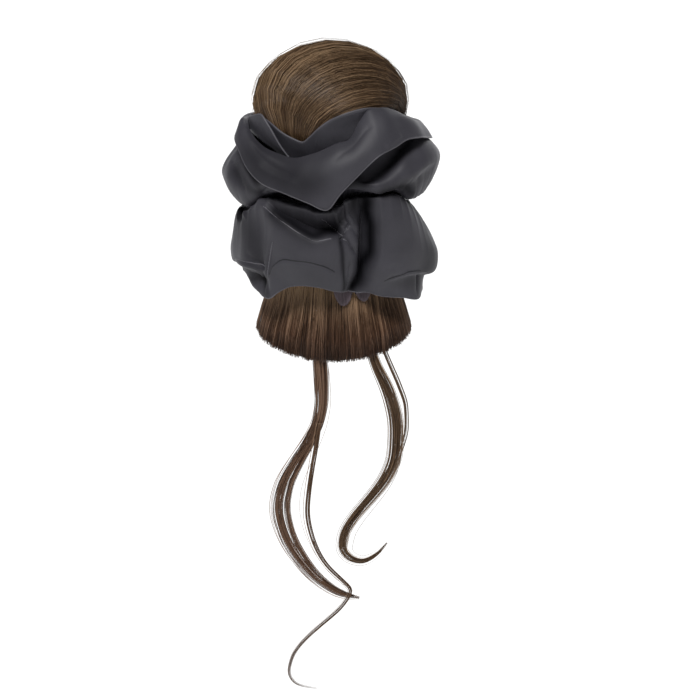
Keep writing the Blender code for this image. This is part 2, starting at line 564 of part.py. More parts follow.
def bun_flow(turns, places):
    """Points on the unit ball along arcs from BUN_START to BUN_END, one arc for each turn of its middle."""
    start = np.array(BUN_START) / np.linalg.norm(BUN_START)
    end = np.array(BUN_END) / np.linalg.norm(BUN_END)
    middle = (start + end) / 2
    offset = np.linalg.norm(middle)
    along = (end - start) / np.linalg.norm(end - start)
    outward = middle / offset
    side = np.cross(along, outward)
    around = np.radians(np.asarray(turns, float))[:, None, None]
    turn = np.arctan2(np.sin(around), np.cos(around) - offset)
    place = np.asarray(places, float)[None, :, None]
    lean = np.cos(turn) * outward + np.sin(turn) * side
    normal = np.cos(turn) * side - np.sin(turn) * outward
    height = -offset * np.sin(turn)
    radius = np.sqrt(1 - height**2)
    half = np.arctan2(np.sqrt(1 - offset**2), offset * np.cos(turn))
    swing = half * (2 * place - 1)
    return height * normal + radius * (np.sin(swing) * along + np.cos(swing) * lean)


def lock_swell(turns):
    """How far the bun's locks stand out at each turn, as a share of BUN_RADIUS."""
    turns = np.asarray(turns, float)
    total = np.zeros_like(turns)
    for turn, width, swell in BUN_LOCKS:
        away = (turns - turn + 180) % 360 - 180
        total += swell * np.exp(-((away / width) ** 2))
    return total


def build_bun():
    """The wound bun, with a flat foot on the neck."""
    turns = np.linspace(-180, 180, FLOW_COLUMNS, endpoint=False)
    places = np.linspace(0, 1, FLOW_ROWS + 1)
    ball = bun_flow(turns, places)
    swell = 1 + lock_swell(turns)[:, None] * np.sin(np.pi * places)[None, :]
    points = ball * swell[..., None]
    points[..., :2] *= BUN_RADIUS
    points[..., 2] *= np.where(points[..., 2] > 0, BUN_RISE, BUN_DROP)
    points[..., 0] += BUN_OFF_CENTRE
    points[..., 2] = np.maximum(points[..., 2] + BUN_LEVEL, NECK_TOP + GAP)
    inner = points[:, 1:-1]
    columns, rows = inner.shape[:2]
    corners = np.concatenate([inner.reshape(-1, 3), points[:1, 0], points[:1, -1]])
    faces = grid_faces(columns, rows, True)
    first, last = columns * rows, columns * rows + 1
    for c in range(columns):
        nearby = (c + 1) % columns
        faces.append((first, nearby * rows, c * rows))
        faces.append((last, c * rows + rows - 1, nearby * rows + rows - 1))
    add_object("bun", corners, faces, "hair")


def build_waist_gathers():
    """The cloth puckered over its elastic round the neck, where both tiers of the frill start."""
    angles = ring_angles()
    outline = [
        # share out, share up
        (0.0, -0.5),
        (0.6, -0.5),
        (1.0, -0.2),
        (1.0, 0.2),
        (0.6, 0.5),
        (0.0, 0.5),
    ]
    pucker = PUCKER_DEPTH * (np.arange(len(angles)) % 2)
    rings = []
    for out, up in outline:
        radius = NECK_RADIUS + GAP + out * (GATHER_THICKNESS - pucker)
        rings.append(on_ring(angles, radius, WAIST_HEIGHT + up * GATHER_HEIGHT))
    add_tube_ring("waist_gathers", rings)


def build_casing():
    """The lower tier's narrow puckered casing, with the nubs that show under the hem."""
    angles = ring_angles()
    outline = [
        # share out, share up, share of the nubs' drop
        (0.0, 0.0, 1.0),
        (0.7, -0.1, 1.0),
        (1.0, 0.2, 0.7),
        (1.0, 0.7, 0.0),
        (0.6, 1.0, 0.0),
        (0.0, 1.0, 0.0),
        (0.0, 0.5, 0.5),
    ]
    drop = np.zeros(len(angles))
    for angle, half_width, share in CASING_NUBS:
        drop += share * NUB_DROP * np.clip(1 - ((angles - angle) / half_width) ** 2, 0, 1)
    pucker = PUCKER_DEPTH * (np.arange(len(angles)) % 2)
    rings = []
    for out, up, share in outline:
        level = CASING_LEVEL + up * CASING_HEIGHT - share * drop
        depth = out * (CASING_THICKNESS - pucker)
        rings.append(on_ring(angles, skirt_radius(level) + LOCK_RELIEF + GAP + depth, level))
    add_tube_ring("casing", rings)


def add_tube_ring(name, rings):
    """A closed ring whose section is the given rings of points, in turn."""
    grid = np.stack(rings, axis=1)
    columns, rows = grid.shape[:2]
    faces = grid_faces(columns, rows, True)
    for c in range(columns):
        nearby = (c + 1) % columns
        faces.append((c * rows + rows - 1, nearby * rows + rows - 1, nearby * rows, c * rows))
    add_object(name, grid.reshape(-1, 3), faces, "satin")


def rim_level(angle):
    """Height of the skirt's rim, which rises a little at the sides."""
    return RIM_LIFT * np.sin(np.radians(angle)) ** 2


def rim_start(rows):
    """Where a lock that hangs under the rim starts."""
    across = rows[0][1] * TENDRIL_SWING
    middle = RIM_RADIUS - RIM_THICKNESS / 2
    level = rim_level(np.degrees(np.arcsin(across / middle))) - LOCK_RELIEF - GAP
    return -((middle**2 - across**2) ** 0.5), level


def branch_start(rows, parent, parent_rows):
    """Where a lock that leaves another lock's front starts."""
    drop, width = rows[0][0], rows[0][3]
    table = np.array(parent_rows, float)
    start_depth, start_level = parent
    depth = start_depth + np.interp(drop, table[:, 0], table[:, 2]) * TENDRIL_SWING
    widths = width + np.interp(drop, table[:, 0], table[:, 3])
    return depth - widths * TENDRIL_WIDTH / 2 * LOCK_FLATNESS - GAP, start_level


def build_tendril(name, rows, start):
    """A thin lock of hair along its spine, tapered to its tip."""
    table = np.array(rows, float)
    depth, level = start
    across = table[:, 1] * TENDRIL_SWING
    back = depth + (table[:, 2] - table[0, 2]) * TENDRIL_SWING
    spine = np.stack([across, back, level - table[:, 0] * TENDRIL_DROP], axis=1)
    knots = np.arange(len(table))
    samples = np.linspace(0, knots[-1], TUBE_STEPS * knots[-1] + 1)
    path = smooth_curve(knots, spine, samples)
    radius = smooth_curve(knots, table[:, 3:4], samples)[:, 0] * TENDRIL_WIDTH / 2
    ahead = np.gradient(path, axis=0)
    ahead[0] = (0, 0, -1)
    ahead /= np.linalg.norm(ahead, axis=1)[:, None]
    side = np.cross(ahead, np.array([0.0, -1.0, 0.0]))
    side /= np.linalg.norm(side, axis=1)[:, None]
    out = np.cross(side, ahead)
    rings = []
    for turn in np.linspace(0, 2 * np.pi, TUBE_SIDES, endpoint=False):
        rings.append(path + radius[:, None] * (np.cos(turn) * side + LOCK_FLATNESS * np.sin(turn) * out))
    grid = np.stack(rings)
    columns, count = grid.shape[:2]
    faces = grid_faces(columns, count, True)
    faces.append([c * count for c in range(columns)])
    faces.append([c * count + count - 1 for c in range(columns)])
    add_object(name, grid.reshape(-1, 3), faces, "hair")


def build_comb():
    """A small comb inside the back of the rim, whose teeth slide into the wearer's hair."""
    low = RIM_LIFT * 0.5 + COMB_HEIGHT - COMB_PLATE / 2
    high = low + COMB_PLATE
    wall = hollow_radius(high) - GAP
    cell = 6.0
    angles = np.arange(-COMB_SPREAD / 2 // cell * cell, COMB_SPREAD / 2 + cell / 2, cell)
    outline = [tuple(on_ring(180 + a, wall * np.cos(np.radians(cell / 2)), 0.0)[:2]) for a in angles]
    bar = outline[-1][1] - COMB_PLATE * 1.5
    left, right = outline[-1][0], outline[0][0]
    pitch = (right - left) / (2 * COMB_TEETH - 1)
    tip = outline[len(outline) // 2][1] - COMB_REACH
    for tooth in range(COMB_TEETH):
        near = left + 2 * tooth * pitch
        outline += [(near, bar), (near + pitch * 0.3, tip), (near + pitch * 0.7, tip), (near + pitch, bar)]
    count = len(outline)
    points = [(x, y, z) for z in (low, high) for x, y in outline]
    faces = [list(range(count)), [count + i for i in range(count)]]
    faces += [(i, (i + 1) % count, count + (i + 1) % count, count + i) for i in range(count)]
    add_object("comb", points, faces, "plastic")


def main():
    clear_scene()
    build_hair_base()
    build_bun()
    build_waist_gathers()
    build_casing()
    build_frills()
    left_start = rim_start(LEFT_TENDRIL)
    build_tendril("left_tendril", LEFT_TENDRIL, left_start)
    build_tendril("left_curl", LEFT_CURL, branch_start(LEFT_CURL, left_start, LEFT_TENDRIL))
    build_tendril("right_tendril", RIGHT_TENDRIL, rim_start(RIGHT_TENDRIL))
    build_tendril("right_wisp", RIGHT_WISP, rim_start(RIGHT_WISP))
    build_comb()


main()
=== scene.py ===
"""Looks of the top knot hairpiece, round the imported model: satin frill, bun, hair skirt and loose tendrils.

Metres, +Z up. The front looks along -Y. Angles go round the vertical axis in degrees, from 0 at the front,
positive towards +X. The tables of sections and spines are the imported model's own.
"""

import bpy
import numpy as np
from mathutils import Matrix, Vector


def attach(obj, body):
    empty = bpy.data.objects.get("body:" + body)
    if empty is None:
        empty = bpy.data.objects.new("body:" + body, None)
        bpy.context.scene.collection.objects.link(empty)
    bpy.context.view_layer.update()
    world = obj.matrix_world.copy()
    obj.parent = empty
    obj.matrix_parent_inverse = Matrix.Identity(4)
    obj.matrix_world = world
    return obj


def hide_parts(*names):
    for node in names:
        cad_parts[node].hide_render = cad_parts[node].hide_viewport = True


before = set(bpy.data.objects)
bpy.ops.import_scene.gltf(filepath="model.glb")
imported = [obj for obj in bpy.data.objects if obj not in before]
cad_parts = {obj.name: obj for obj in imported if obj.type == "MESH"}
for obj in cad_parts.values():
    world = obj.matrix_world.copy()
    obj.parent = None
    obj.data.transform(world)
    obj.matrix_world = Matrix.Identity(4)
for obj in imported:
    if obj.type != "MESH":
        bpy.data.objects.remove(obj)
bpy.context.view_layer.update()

# Sizes of the hair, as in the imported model
BUN_RADIUS = 0.0475
BUN_RISE = 0.0340
BUN_DROP = 0.0500
NECK_RADIUS = 0.0300
NECK_TOP = 0.1160
RIM_RADIUS = 0.0500
RIM_THICKNESS = 0.0070
HOLLOW_DEPTH = 0.0520
RIM_LIFT = 0.0040
GAP = 0.0003

# Sizes of the satin frill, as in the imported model
WAIST_HEIGHT = 0.0980
FRILL_RADIUS = 0.0650
UPPER_RISE = 0.0500
LOWER_DROP = 0.0650
GATHER_THICKNESS = 0.0094
GATHER_HEIGHT = 0.0150
CASING_LEVEL = 0.0470
CASING_THICKNESS = 0.0040
CASING_HEIGHT = 0.0075
NUB_DROP = 0.0140
LAYER_GAP = 0.0004

# Sizes of the tendrils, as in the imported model
TENDRIL_DROP = 0.2360
TENDRIL_SWING = 0.0400
TENDRIL_WIDTH = 0.0085
LOCK_FLATNESS = 0.45

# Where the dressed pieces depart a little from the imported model: thinner satin, a bun and a skirt set further
# across, ends of hair that reach below the rim in front, and tendrils that start inside the skirt
CLOTH = 0.0010
BUN_OFF_CENTRE = -0.0006
SKIRT_SHIFT = 0.0014
FRONT_DIP = 0.0030
TENDRIL_ROOT = 0.0060

ROOT_RADIUS = NECK_RADIUS + GAP + GATHER_THICKNESS + GAP
BUN_LEVEL = NECK_TOP + GAP + BUN_DROP * (1 - (NECK_RADIUS / BUN_RADIUS) ** 2) ** 0.5
BUN_START = (-0.27, -0.68, -0.68)
BUN_END = (0.84, -0.12, -0.53)

BUN_LOCKS = [
    # turn, width, swell
    (-8, 8, -0.025),
    (-30, 10, 0.018),
    (-52, 7, -0.032),
    (-72, 10, 0.020),
    (-93, 7, -0.036),
    (-112, 10, 0.020),
    (-132, 7, -0.055),
    (-155, 12, 0.022),
    (-180, 8, -0.032),
    (152, 12, 0.018),
    (122, 8, -0.032),
    (92, 14, 0.018),
    (56, 8, -0.030),
    (25, 14, 0.016),
]

SKIRT_PROFILE = [
    # height, narrowing
    (0.00, 0.00),
    (0.08, 0.07),
    (0.20, 0.31),
    (0.32, 0.46),
    (0.45, 0.62),
    (0.60, 0.86),
    (0.74, 1.00),
    (1.00, 1.00),
]

HOLLOW_PROFILE = [
    # height, radius
    (0.00, 1.00),
    (0.45, 0.90),
    (0.80, 0.74),
    (1.00, 0.62),
]

# Each frill row gives an angle, then pairs of a reach and a level. Reach is 0 at the gathers' outside and 1
# at FRILL_RADIUS. Level is 0 at the waist and 1 at LOWER_DROP below it, or at UPPER_RISE above it.
LOWER_FRILL = [
    # angle, shoulder, pocket, ridge, belly, seam, tuck, hem
    (-180, (0.52, 0.16), (0.76, 0.20), (0.94, 0.26), (1.06, 0.46), (1.00, 0.72), (0.84, 0.77), (0.82, 0.95)),
    (-158, (0.30, 0.17), (0.44, 0.21), (0.56, 0.27), (0.70, 0.45), (0.70, 0.70), (0.62, 0.76), (0.60, 0.93)),
    (-132, (0.52, 0.18), (0.76, 0.21), (0.94, 0.29), (1.06, 0.45), (1.00, 0.68), (0.84, 0.73), (0.82, 0.90)),
    (-108, (0.40, 0.18), (0.54, 0.22), (0.68, 0.28), (0.80, 0.46), (0.76, 0.68), (0.62, 0.72), (0.60, 0.84)),
    (-90, (0.52, 0.19), (0.70, 0.22), (0.80, 0.30), (0.97, 0.62), (0.92, 0.75), (0.72, 0.78), (0.66, 0.85)),
    (-76, (0.58, 0.20), (0.76, 0.22), (0.88, 0.30), (0.99, 0.54), (0.94, 0.68), (0.66, 0.74), (0.66, 0.82)),
    (-66, (0.62, 0.18), (0.82, 0.19), (0.93, 0.25), (1.00, 0.49), (0.97, 0.63), (0.62, 0.72), (0.68, 0.84)),
    (-58, (0.62, 0.12), (0.86, 0.11), (0.98, 0.19), (1.02, 0.45), (1.02, 0.62), (0.60, 0.73), (0.70, 0.88)),
    (-50, (0.70, 0.02), (0.88, 0.01), (0.96, 0.12), (0.96, 0.42), (0.96, 0.62), (0.60, 0.73), (0.74, 0.90)),
    (-44, (0.78, -0.07), (0.88, -0.07), (0.96, 0.03), (0.88, 0.38), (0.84, 0.62), (0.64, 0.75), (0.80, 0.92)),
    (-39, (0.80, -0.08), (0.86, -0.05), (1.00, 0.00), (0.94, 0.36), (0.96, 0.62), (0.88, 0.77), (0.84, 0.91)),
    (-34, (0.82, -0.08), (0.82, 0.00), (1.01, 0.03), (1.04, 0.31), (1.02, 0.53), (0.96, 0.68), (0.84, 0.84)),
    (-24, (0.84, -0.06), (0.66, 0.09), (1.04, 0.11), (1.09, 0.32), (1.05, 0.48), (0.96, 0.62), (0.80, 0.75)),
    (-15, (0.82, -0.04), (0.54, 0.17), (1.05, 0.19), (1.10, 0.34), (1.06, 0.48), (0.96, 0.60), (0.78, 0.73)),
    (-8, (0.80, 0.00), (0.50, 0.21), (1.05, 0.24), (1.08, 0.36), (1.04, 0.50), (0.94, 0.62), (0.76, 0.74)),
    (0, (0.72, 0.00), (0.52, 0.20), (0.98, 0.23), (1.00, 0.37), (0.95, 0.53), (0.86, 0.66), (0.70, 0.78)),
    (6, (0.64, -0.05), (0.58, 0.11), (0.84, 0.25), (0.86, 0.40), (0.80, 0.57), (0.70, 0.69), (0.56, 0.81)),
    (10, (0.62, -0.10), (0.64, 0.03), (0.76, 0.17), (0.84, 0.34), (0.76, 0.55), (0.60, 0.70), (0.42, 0.83)),
    (13, (0.60, -0.11), (0.64, 0.00), (0.76, 0.14), (0.82, 0.33), (0.68, 0.57), (0.46, 0.72), (0.28, 0.84)),
    (17, (0.60, -0.12), (0.62, 0.00), (0.70, 0.15), (0.72, 0.35), (0.50, 0.59), (0.26, 0.76), (0.26, 0.86)),
    (20, (0.62, -0.12), (0.48, 0.01), (0.36, 0.19), (0.32, 0.40), (0.22, 0.63), (0.26, 0.77), (0.36, 0.86)),
    (24, (0.68, -0.12), (0.46, 0.02), (0.22, 0.21), (0.20, 0.42), (0.24, 0.63), (0.48, 0.75), (0.46, 0.85)),
    (27, (0.80, -0.12), (0.86, -0.04), (0.90, 0.13), (0.91, 0.35), (0.86, 0.59), (0.74, 0.73), (0.60, 0.85)),
    (30, (0.84, -0.13), (0.92, -0.05), (0.98, 0.12), (1.00, 0.36), (0.94, 0.61), (0.82, 0.75), (0.66, 0.87)),
    (38, (0.82, -0.13), (0.94, -0.06), (1.03, 0.11), (1.08, 0.39), (1.03, 0.64), (0.84, 0.73), (0.74, 0.90)),
    (48, (0.78, -0.06), (0.90, -0.01), (1.03, 0.16), (1.14, 0.44), (1.10, 0.66), (0.84, 0.73), (0.80, 0.94)),
    (62, (0.56, 0.05), (0.72, 0.09), (0.93, 0.25), (1.15, 0.52), (1.10, 0.72), (0.88, 0.77), (0.88, 1.01)),
    (76, (0.34, 0.11), (0.52, 0.17), (0.82, 0.34), (1.14, 0.60), (1.06, 0.79), (0.80, 0.84), (0.76, 1.02)),
    (92, (0.22, 0.15), (0.40, 0.22), (0.74, 0.39), (1.09, 0.66), (1.01, 0.83), (0.76, 0.86), (0.72, 1.02)),
    (114, (0.28, 0.19), (0.42, 0.23), (0.60, 0.30), (0.76, 0.50), (0.74, 0.72), (0.60, 0.76), (0.58, 0.90)),
    (136, (0.50, 0.18), (0.72, 0.21), (0.94, 0.26), (1.08, 0.46), (1.02, 0.71), (0.86, 0.76), (0.84, 0.94)),
    (158, (0.34, 0.18), (0.48, 0.21), (0.62, 0.27), (0.72, 0.45), (0.70, 0.69), (0.60, 0.74), (0.58, 0.88)),
]

UPPER_FRILL = [
    # angle, under, belly, bulge, brow, lip
    (-180, (0.56, -0.12), (1.00, 0.00), (1.12, 0.20), (0.84, 0.44), (0.44, 0.54)),
    (-152, (0.32, -0.12), (0.60, 0.00), (0.74, 0.20), (0.62, 0.44), (0.42, 0.54)),
    (-122, (0.52, -0.16), (0.96, -0.02), (1.08, 0.18), (0.84, 0.46), (0.44, 0.60)),
    (-104, (0.48, -0.16), (0.88, -0.02), (1.04, 0.20), (0.80, 0.52), (0.46, 0.74)),
    (-90, (0.58, -0.14), (0.92, 0.01), (1.16, 0.19), (0.90, 0.43), (0.48, 0.67)),
    (-70, (0.60, -0.17), (0.98, -0.01), (1.18, 0.24), (0.88, 0.52), (0.50, 0.73)),
    (-58, (0.62, -0.09), (0.92, -0.03), (1.08, 0.19), (0.84, 0.50), (0.48, 0.66)),
    (-50, (0.52, 0.03), (0.80, 0.04), (1.02, 0.22), (0.82, 0.46), (0.44, 0.56)),
    (-42, (0.52, 0.15), (0.80, 0.16), (1.00, 0.29), (0.86, 0.42), (0.46, 0.53)),
    (-32, (0.52, 0.23), (0.80, 0.24), (0.98, 0.37), (0.84, 0.45), (0.46, 0.50)),
    (-20, (0.52, 0.28), (0.76, 0.28), (0.94, 0.37), (0.82, 0.48), (0.46, 0.51)),
    (-8, (0.52, 0.20), (0.72, 0.21), (0.90, 0.31), (0.78, 0.43), (0.46, 0.56)),
    (3, (0.52, 0.24), (0.72, 0.25), (0.86, 0.36), (0.74, 0.47), (0.48, 0.66)),
    (12, (0.52, 0.29), (0.76, 0.30), (0.90, 0.41), (0.70, 0.52), (0.48, 0.74)),
    (21, (0.56, 0.25), (0.88, 0.27), (1.00, 0.37), (0.68, 0.54), (0.47, 0.82)),
    (29, (0.58, 0.21), (0.94, 0.23), (1.06, 0.34), (0.66, 0.58), (0.47, 0.85)),
    (36, (0.58, 0.23), (0.96, 0.25), (1.10, 0.38), (0.66, 0.65), (0.46, 0.87)),
    (42, (0.56, 0.22), (0.94, 0.24), (1.14, 0.44), (0.68, 0.71), (0.46, 0.88)),
    (48, (0.54, 0.13), (0.94, 0.10), (1.16, 0.46), (0.72, 0.75), (0.45, 0.88)),
    (60, (0.46, 0.07), (0.86, 0.03), (1.18, 0.51), (0.86, 0.74), (0.45, 0.84)),
    (76, (0.38, 0.04), (0.74, 0.01), (1.17, 0.46), (0.97, 0.66), (0.43, 0.78)),
    (92, (0.28, 0.07), (0.68, 0.01), (1.12, 0.38), (0.94, 0.56), (0.42, 0.72)),
    (114, (0.32, -0.12), (0.68, 0.00), (0.90, 0.26), (0.70, 0.46), (0.40, 0.58)),
    (138, (0.48, -0.14), (0.96, -0.02), (1.10, 0.20), (0.84, 0.44), (0.42, 0.54)),
    (160, (0.36, -0.12), (0.68, 0.00), (0.82, 0.20), (0.66, 0.44), (0.42, 0.54)),
]

COLLAR = [
    # angle, inside, lip, shoulder, drape, edge
    (-180, (0.45, 0.60), (0.48, 0.71), (0.64, 0.70), (0.84, 0.60), (1.04, 0.45)),
    (-150, (0.43, 0.60), (0.46, 0.71), (0.60, 0.70), (0.72, 0.60), (0.88, 0.49)),
    (-122, (0.45, 0.68), (0.49, 0.79), (0.64, 0.77), (0.80, 0.68), (0.96, 0.55)),
    (-105, (0.44, 0.76), (0.47, 0.88), (0.58, 0.87), (0.68, 0.80), (0.76, 0.70)),
    (-90, (0.48, 0.76), (0.51, 0.89), (0.60, 0.90), (0.66, 0.86), (0.70, 0.78)),
    (-76, (0.54, 0.80), (0.58, 0.92), (0.68, 0.95), (0.77, 0.91), (0.82, 0.82)),
    (-66, (0.57, 0.75), (0.62, 0.87), (0.74, 0.92), (0.90, 0.87), (1.00, 0.75)),
    (-58, (0.60, 0.67), (0.65, 0.79), (0.82, 0.84), (0.98, 0.78), (1.08, 0.66)),
    (-51, (0.62, 0.64), (0.68, 0.75), (0.86, 0.78), (1.04, 0.68), (1.14, 0.53)),
    (-44, (0.62, 0.62), (0.70, 0.72), (0.90, 0.72), (1.08, 0.60), (1.18, 0.44)),
    (-36, (0.60, 0.59), (0.70, 0.69), (0.92, 0.67), (1.10, 0.52), (1.20, 0.35)),
    (-24, (0.56, 0.54), (0.68, 0.65), (0.92, 0.61), (1.12, 0.48), (1.22, 0.29)),
    (-11, (0.58, 0.62), (0.70, 0.73), (0.96, 0.66), (1.20, 0.46), (1.28, 0.20)),
    (-2, (0.62, 0.70), (0.72, 0.82), (1.02, 0.74), (1.26, 0.51), (1.33, 0.12)),
    (4, (0.62, 0.77), (0.72, 0.88), (1.04, 0.80), (1.26, 0.59), (1.32, 0.31)),
    (11, (0.62, 0.81), (0.69, 0.91), (0.98, 0.86), (1.22, 0.71), (1.30, 0.49)),
    (19, (0.53, 1.03), (0.58, 1.12), (0.88, 1.02), (1.16, 0.83), (1.27, 0.67)),
    (26, (0.53, 1.15), (0.58, 1.26), (0.80, 1.16), (1.10, 0.95), (1.24, 0.78)),
    (34, (0.54, 1.15), (0.59, 1.26), (0.82, 1.18), (1.06, 1.02), (1.19, 0.83)),
    (44, (0.52, 1.08), (0.57, 1.20), (0.78, 1.14), (0.98, 1.01), (1.10, 0.88)),
    (56, (0.50, 0.97), (0.54, 1.07), (0.74, 1.05), (0.92, 0.96), (1.04, 0.84)),
    (70, (0.47, 0.84), (0.50, 0.96), (0.66, 0.95), (0.84, 0.87), (0.97, 0.76)),
    (88, (0.43, 0.73), (0.46, 0.86), (0.61, 0.85), (0.77, 0.77), (0.91, 0.65)),
    (114, (0.44, 0.68), (0.46, 0.79), (0.61, 0.78), (0.72, 0.70), (0.81, 0.59)),
    (146, (0.44, 0.60), (0.47, 0.71), (0.62, 0.70), (0.78, 0.60), (0.96, 0.48)),
]

INNER_COLLAR = [
    # angle, foot, middle, edge
    (-180, (0.10, 0.46), (0.26, 0.58), (0.34, 0.72)),
    (-112, (0.10, 0.48), (0.28, 0.66), (0.36, 0.84)),
    (-76, (0.10, 0.44), (0.30, 0.72), (0.42, 0.90)),
    (-56, (0.10, 0.47), (0.32, 0.77), (0.43, 1.03)),
    (-47, (0.10, 0.48), (0.32, 0.76), (0.44, 1.01)),
    (-37, (0.09, 0.48), (0.30, 0.72), (0.44, 0.93)),
    (-28, (0.07, 0.47), (0.24, 0.67), (0.40, 0.86)),
    (-21, (0.06, 0.47), (0.22, 0.66), (0.36, 0.82)),
    (-15, (0.07, 0.49), (0.24, 0.72), (0.38, 0.90)),
    (-8, (0.08, 0.52), (0.27, 0.79), (0.41, 1.03)),
    (2, (0.10, 0.55), (0.30, 0.86), (0.45, 1.15)),
    (13, (0.10, 0.56), (0.31, 0.91), (0.48, 1.23)),
    (24, (0.10, 0.56), (0.31, 0.92), (0.50, 1.26)),
    (34, (0.10, 0.55), (0.31, 0.89), (0.50, 1.24)),
    (44, (0.10, 0.55), (0.31, 0.87), (0.48, 1.18)),
    (56, (0.10, 0.54), (0.30, 0.80), (0.44, 1.03)),
    (70, (0.10, 0.51), (0.29, 0.74), (0.40, 0.91)),
    (90, (0.10, 0.50), (0.28, 0.65), (0.37, 0.81)),
    (120, (0.10, 0.48), (0.27, 0.62), (0.35, 0.76)),
]

INNER_FLAP = [
    # angle, foot, middle, edge
    (-76, (0.46, 0.79), (0.49, 0.89), (0.51, 0.97)),
    (-66, (0.46, 0.78), (0.54, 0.93), (0.60, 1.03)),
    (-57, (0.45, 0.75), (0.55, 0.94), (0.62, 1.09)),
    (-51, (0.43, 0.71), (0.54, 0.93), (0.61, 1.12)),
    (-47, (0.42, 0.70), (0.54, 0.88), (0.60, 1.05)),
    (-42, (0.40, 0.66), (0.52, 0.80), (0.59, 0.95)),
    (-36, (0.38, 0.60), (0.50, 0.71), (0.57, 0.79)),
    (-29, (0.34, 0.52), (0.46, 0.57), (0.53, 0.63)),
]

CASING_NUBS = [
    # angle, half width, drop
    (10, 9, 1.0),
    (28, 9, 0.9),
]

LEFT_TENDRIL = [
    # drop, across, setback, width
    (0.000, -0.20, 0.00, 0.86),
    (0.070, -0.16, 0.02, 0.94),
    (0.130, -0.15, 0.05, 0.92),
    (0.190, -0.20, 0.09, 0.88),
    (0.240, -0.31, 0.12, 0.92),
    (0.320, -0.56, 0.16, 1.04),
    (0.395, -0.76, 0.19, 1.12),
    (0.460, -0.82, 0.20, 1.06),
    (0.530, -0.74, 0.19, 0.90),
    (0.610, -0.50, 0.17, 0.72),
    (0.670, -0.20, 0.14, 0.56),
    (0.708, 0.14, 0.11, 0.40),
    (0.722, 0.47, 0.08, 0.16),
]

LEFT_CURL = [
    # drop, across, setback, width
    (0.190, -0.18, 0.00, 0.24),
    (0.250, -0.23, -0.02, 0.34),
    (0.328, -0.31, -0.05, 0.36),
    (0.395, -0.37, -0.07, 0.38),
    (0.455, -0.40, -0.09, 0.38),
    (0.530, -0.32, -0.10, 0.34),
    (0.605, -0.12, -0.10, 0.28),
    (0.660, 0.18, -0.09, 0.24),
    (0.690, 0.31, -0.08, 0.22),
    (0.740, 0.16, -0.06, 0.20),
    (0.800, -0.20, -0.04, 0.18),
    (0.854, -0.50, -0.02, 0.17),
    (0.900, -0.66, 0.00, 0.16),
    (0.950, -0.72, 0.02, 0.14),
    (0.988, -0.58, 0.03, 0.12),
    (1.000, -0.22, 0.03, 0.10),
]

RIGHT_TENDRIL = [
    # drop, across, setback, width
    (0.000, 0.60, 0.00, 0.80),
    (0.050, 0.71, 0.00, 0.84),
    (0.100, 0.86, 0.00, 0.88),
    (0.150, 0.96, 0.01, 0.90),
    (0.220, 1.03, 0.03, 0.94),
    (0.300, 1.01, 0.05, 0.96),
    (0.370, 0.87, 0.06, 0.94),
    (0.437, 0.60, 0.07, 0.88),
    (0.490, 0.36, 0.07, 0.84),
    (0.540, 0.20, 0.05, 0.80),
    (0.580, 0.17, 0.03, 0.70),
    (0.608, 0.28, 0.00, 0.54),
    (0.618, 0.48, -0.02, 0.38),
    (0.598, 0.71, -0.04, 0.22),
    (0.556, 0.91, -0.05, 0.08),
]

RIGHT_WISP = [
    # drop, across, setback, width
    (0.000, 0.77, 0.10, 0.22),
    (0.057, 0.94, 0.14, 0.26),
    (0.118, 1.09, 0.18, 0.28),
    (0.180, 1.19, 0.22, 0.26),
    (0.240, 1.20, 0.24, 0.22),
    (0.300, 1.13, 0.25, 0.17),
    (0.350, 1.02, 0.25, 0.13),
    (0.400, 0.86, 0.25, 0.08),
]

# How finely the pieces are made
FRONT_STEP = 0.7
BACK_STEP = 2.0
FRONT_HALF = 98.0
ROWS_PER_STATION = 9
STRAND_SIDES = 3

# How many strands each part of the hair has, and how thick one is
BUN_STRANDS = 2000
BUN_FINE_STRANDS = 1400
SKIRT_STRANDS = 5000
HOLLOW_STRANDS = 800
STRAND_RADIUS = 0.00023
BUN_INSET = 0.0006
SKIRT_INSET = 0.0007
SKIRT_STRAND_TOP = 0.078
FINE_RADIUS = 0.00012


# Curves and grids

def slopes_at(knots, values):
    """Slope at each inner knot of a curve that never overshoots its knots: zero at a peak or a dip."""
    steps = np.diff(knots)[:, None]
    rises = np.diff(values, axis=0) / steps
    before, after = rises[:-1], rises[1:]
    short, long = steps[:-1], steps[1:]
    first, second = 2 * long + short, long + 2 * short
    same_way = before * after > 0
    safe_before = np.where(same_way, before, 1)
    safe_after = np.where(same_way, after, 1)
    mean = (first + second) / (first / safe_before + second / safe_after)
    return np.where(same_way, mean, 0), rises


def smooth_curve(knots, values, at, period=None):
    """Values on a smooth curve through the knots, which is a closed one where it has a period."""
    knots = np.asarray(knots, float)
    flat = np.asarray(values, float).reshape(len(knots), -1)
    at = np.asarray(at, float)
    if period:
        knots = np.concatenate([knots[-2:] - period, knots, knots[:2] + period])
        flat = np.concatenate([flat[-2:], flat, flat[:2]])
        at = knots[2] + (at - knots[2]) % period
    inner, rises = slopes_at(knots, flat)
    slopes = np.concatenate([rises[:1], inner, rises[-1:]])
    span = np.clip(np.searchsorted(knots, at, side="right") - 1, 0, len(knots) - 2)
    width = (knots[span + 1] - knots[span])[:, None]
    t = (at[:, None] - knots[span][:, None]) / width
    start, end = flat[span], flat[span + 1]
    found = (
        start * (1 + 2 * t) * (1 - t) ** 2
        + slopes[span] * width * t * (1 - t) ** 2
        + end * t**2 * (3 - 2 * t)
        + slopes[span + 1] * width * t**2 * (t - 1)
    )
    return found.reshape((len(at),) + np.shape(values)[1:])


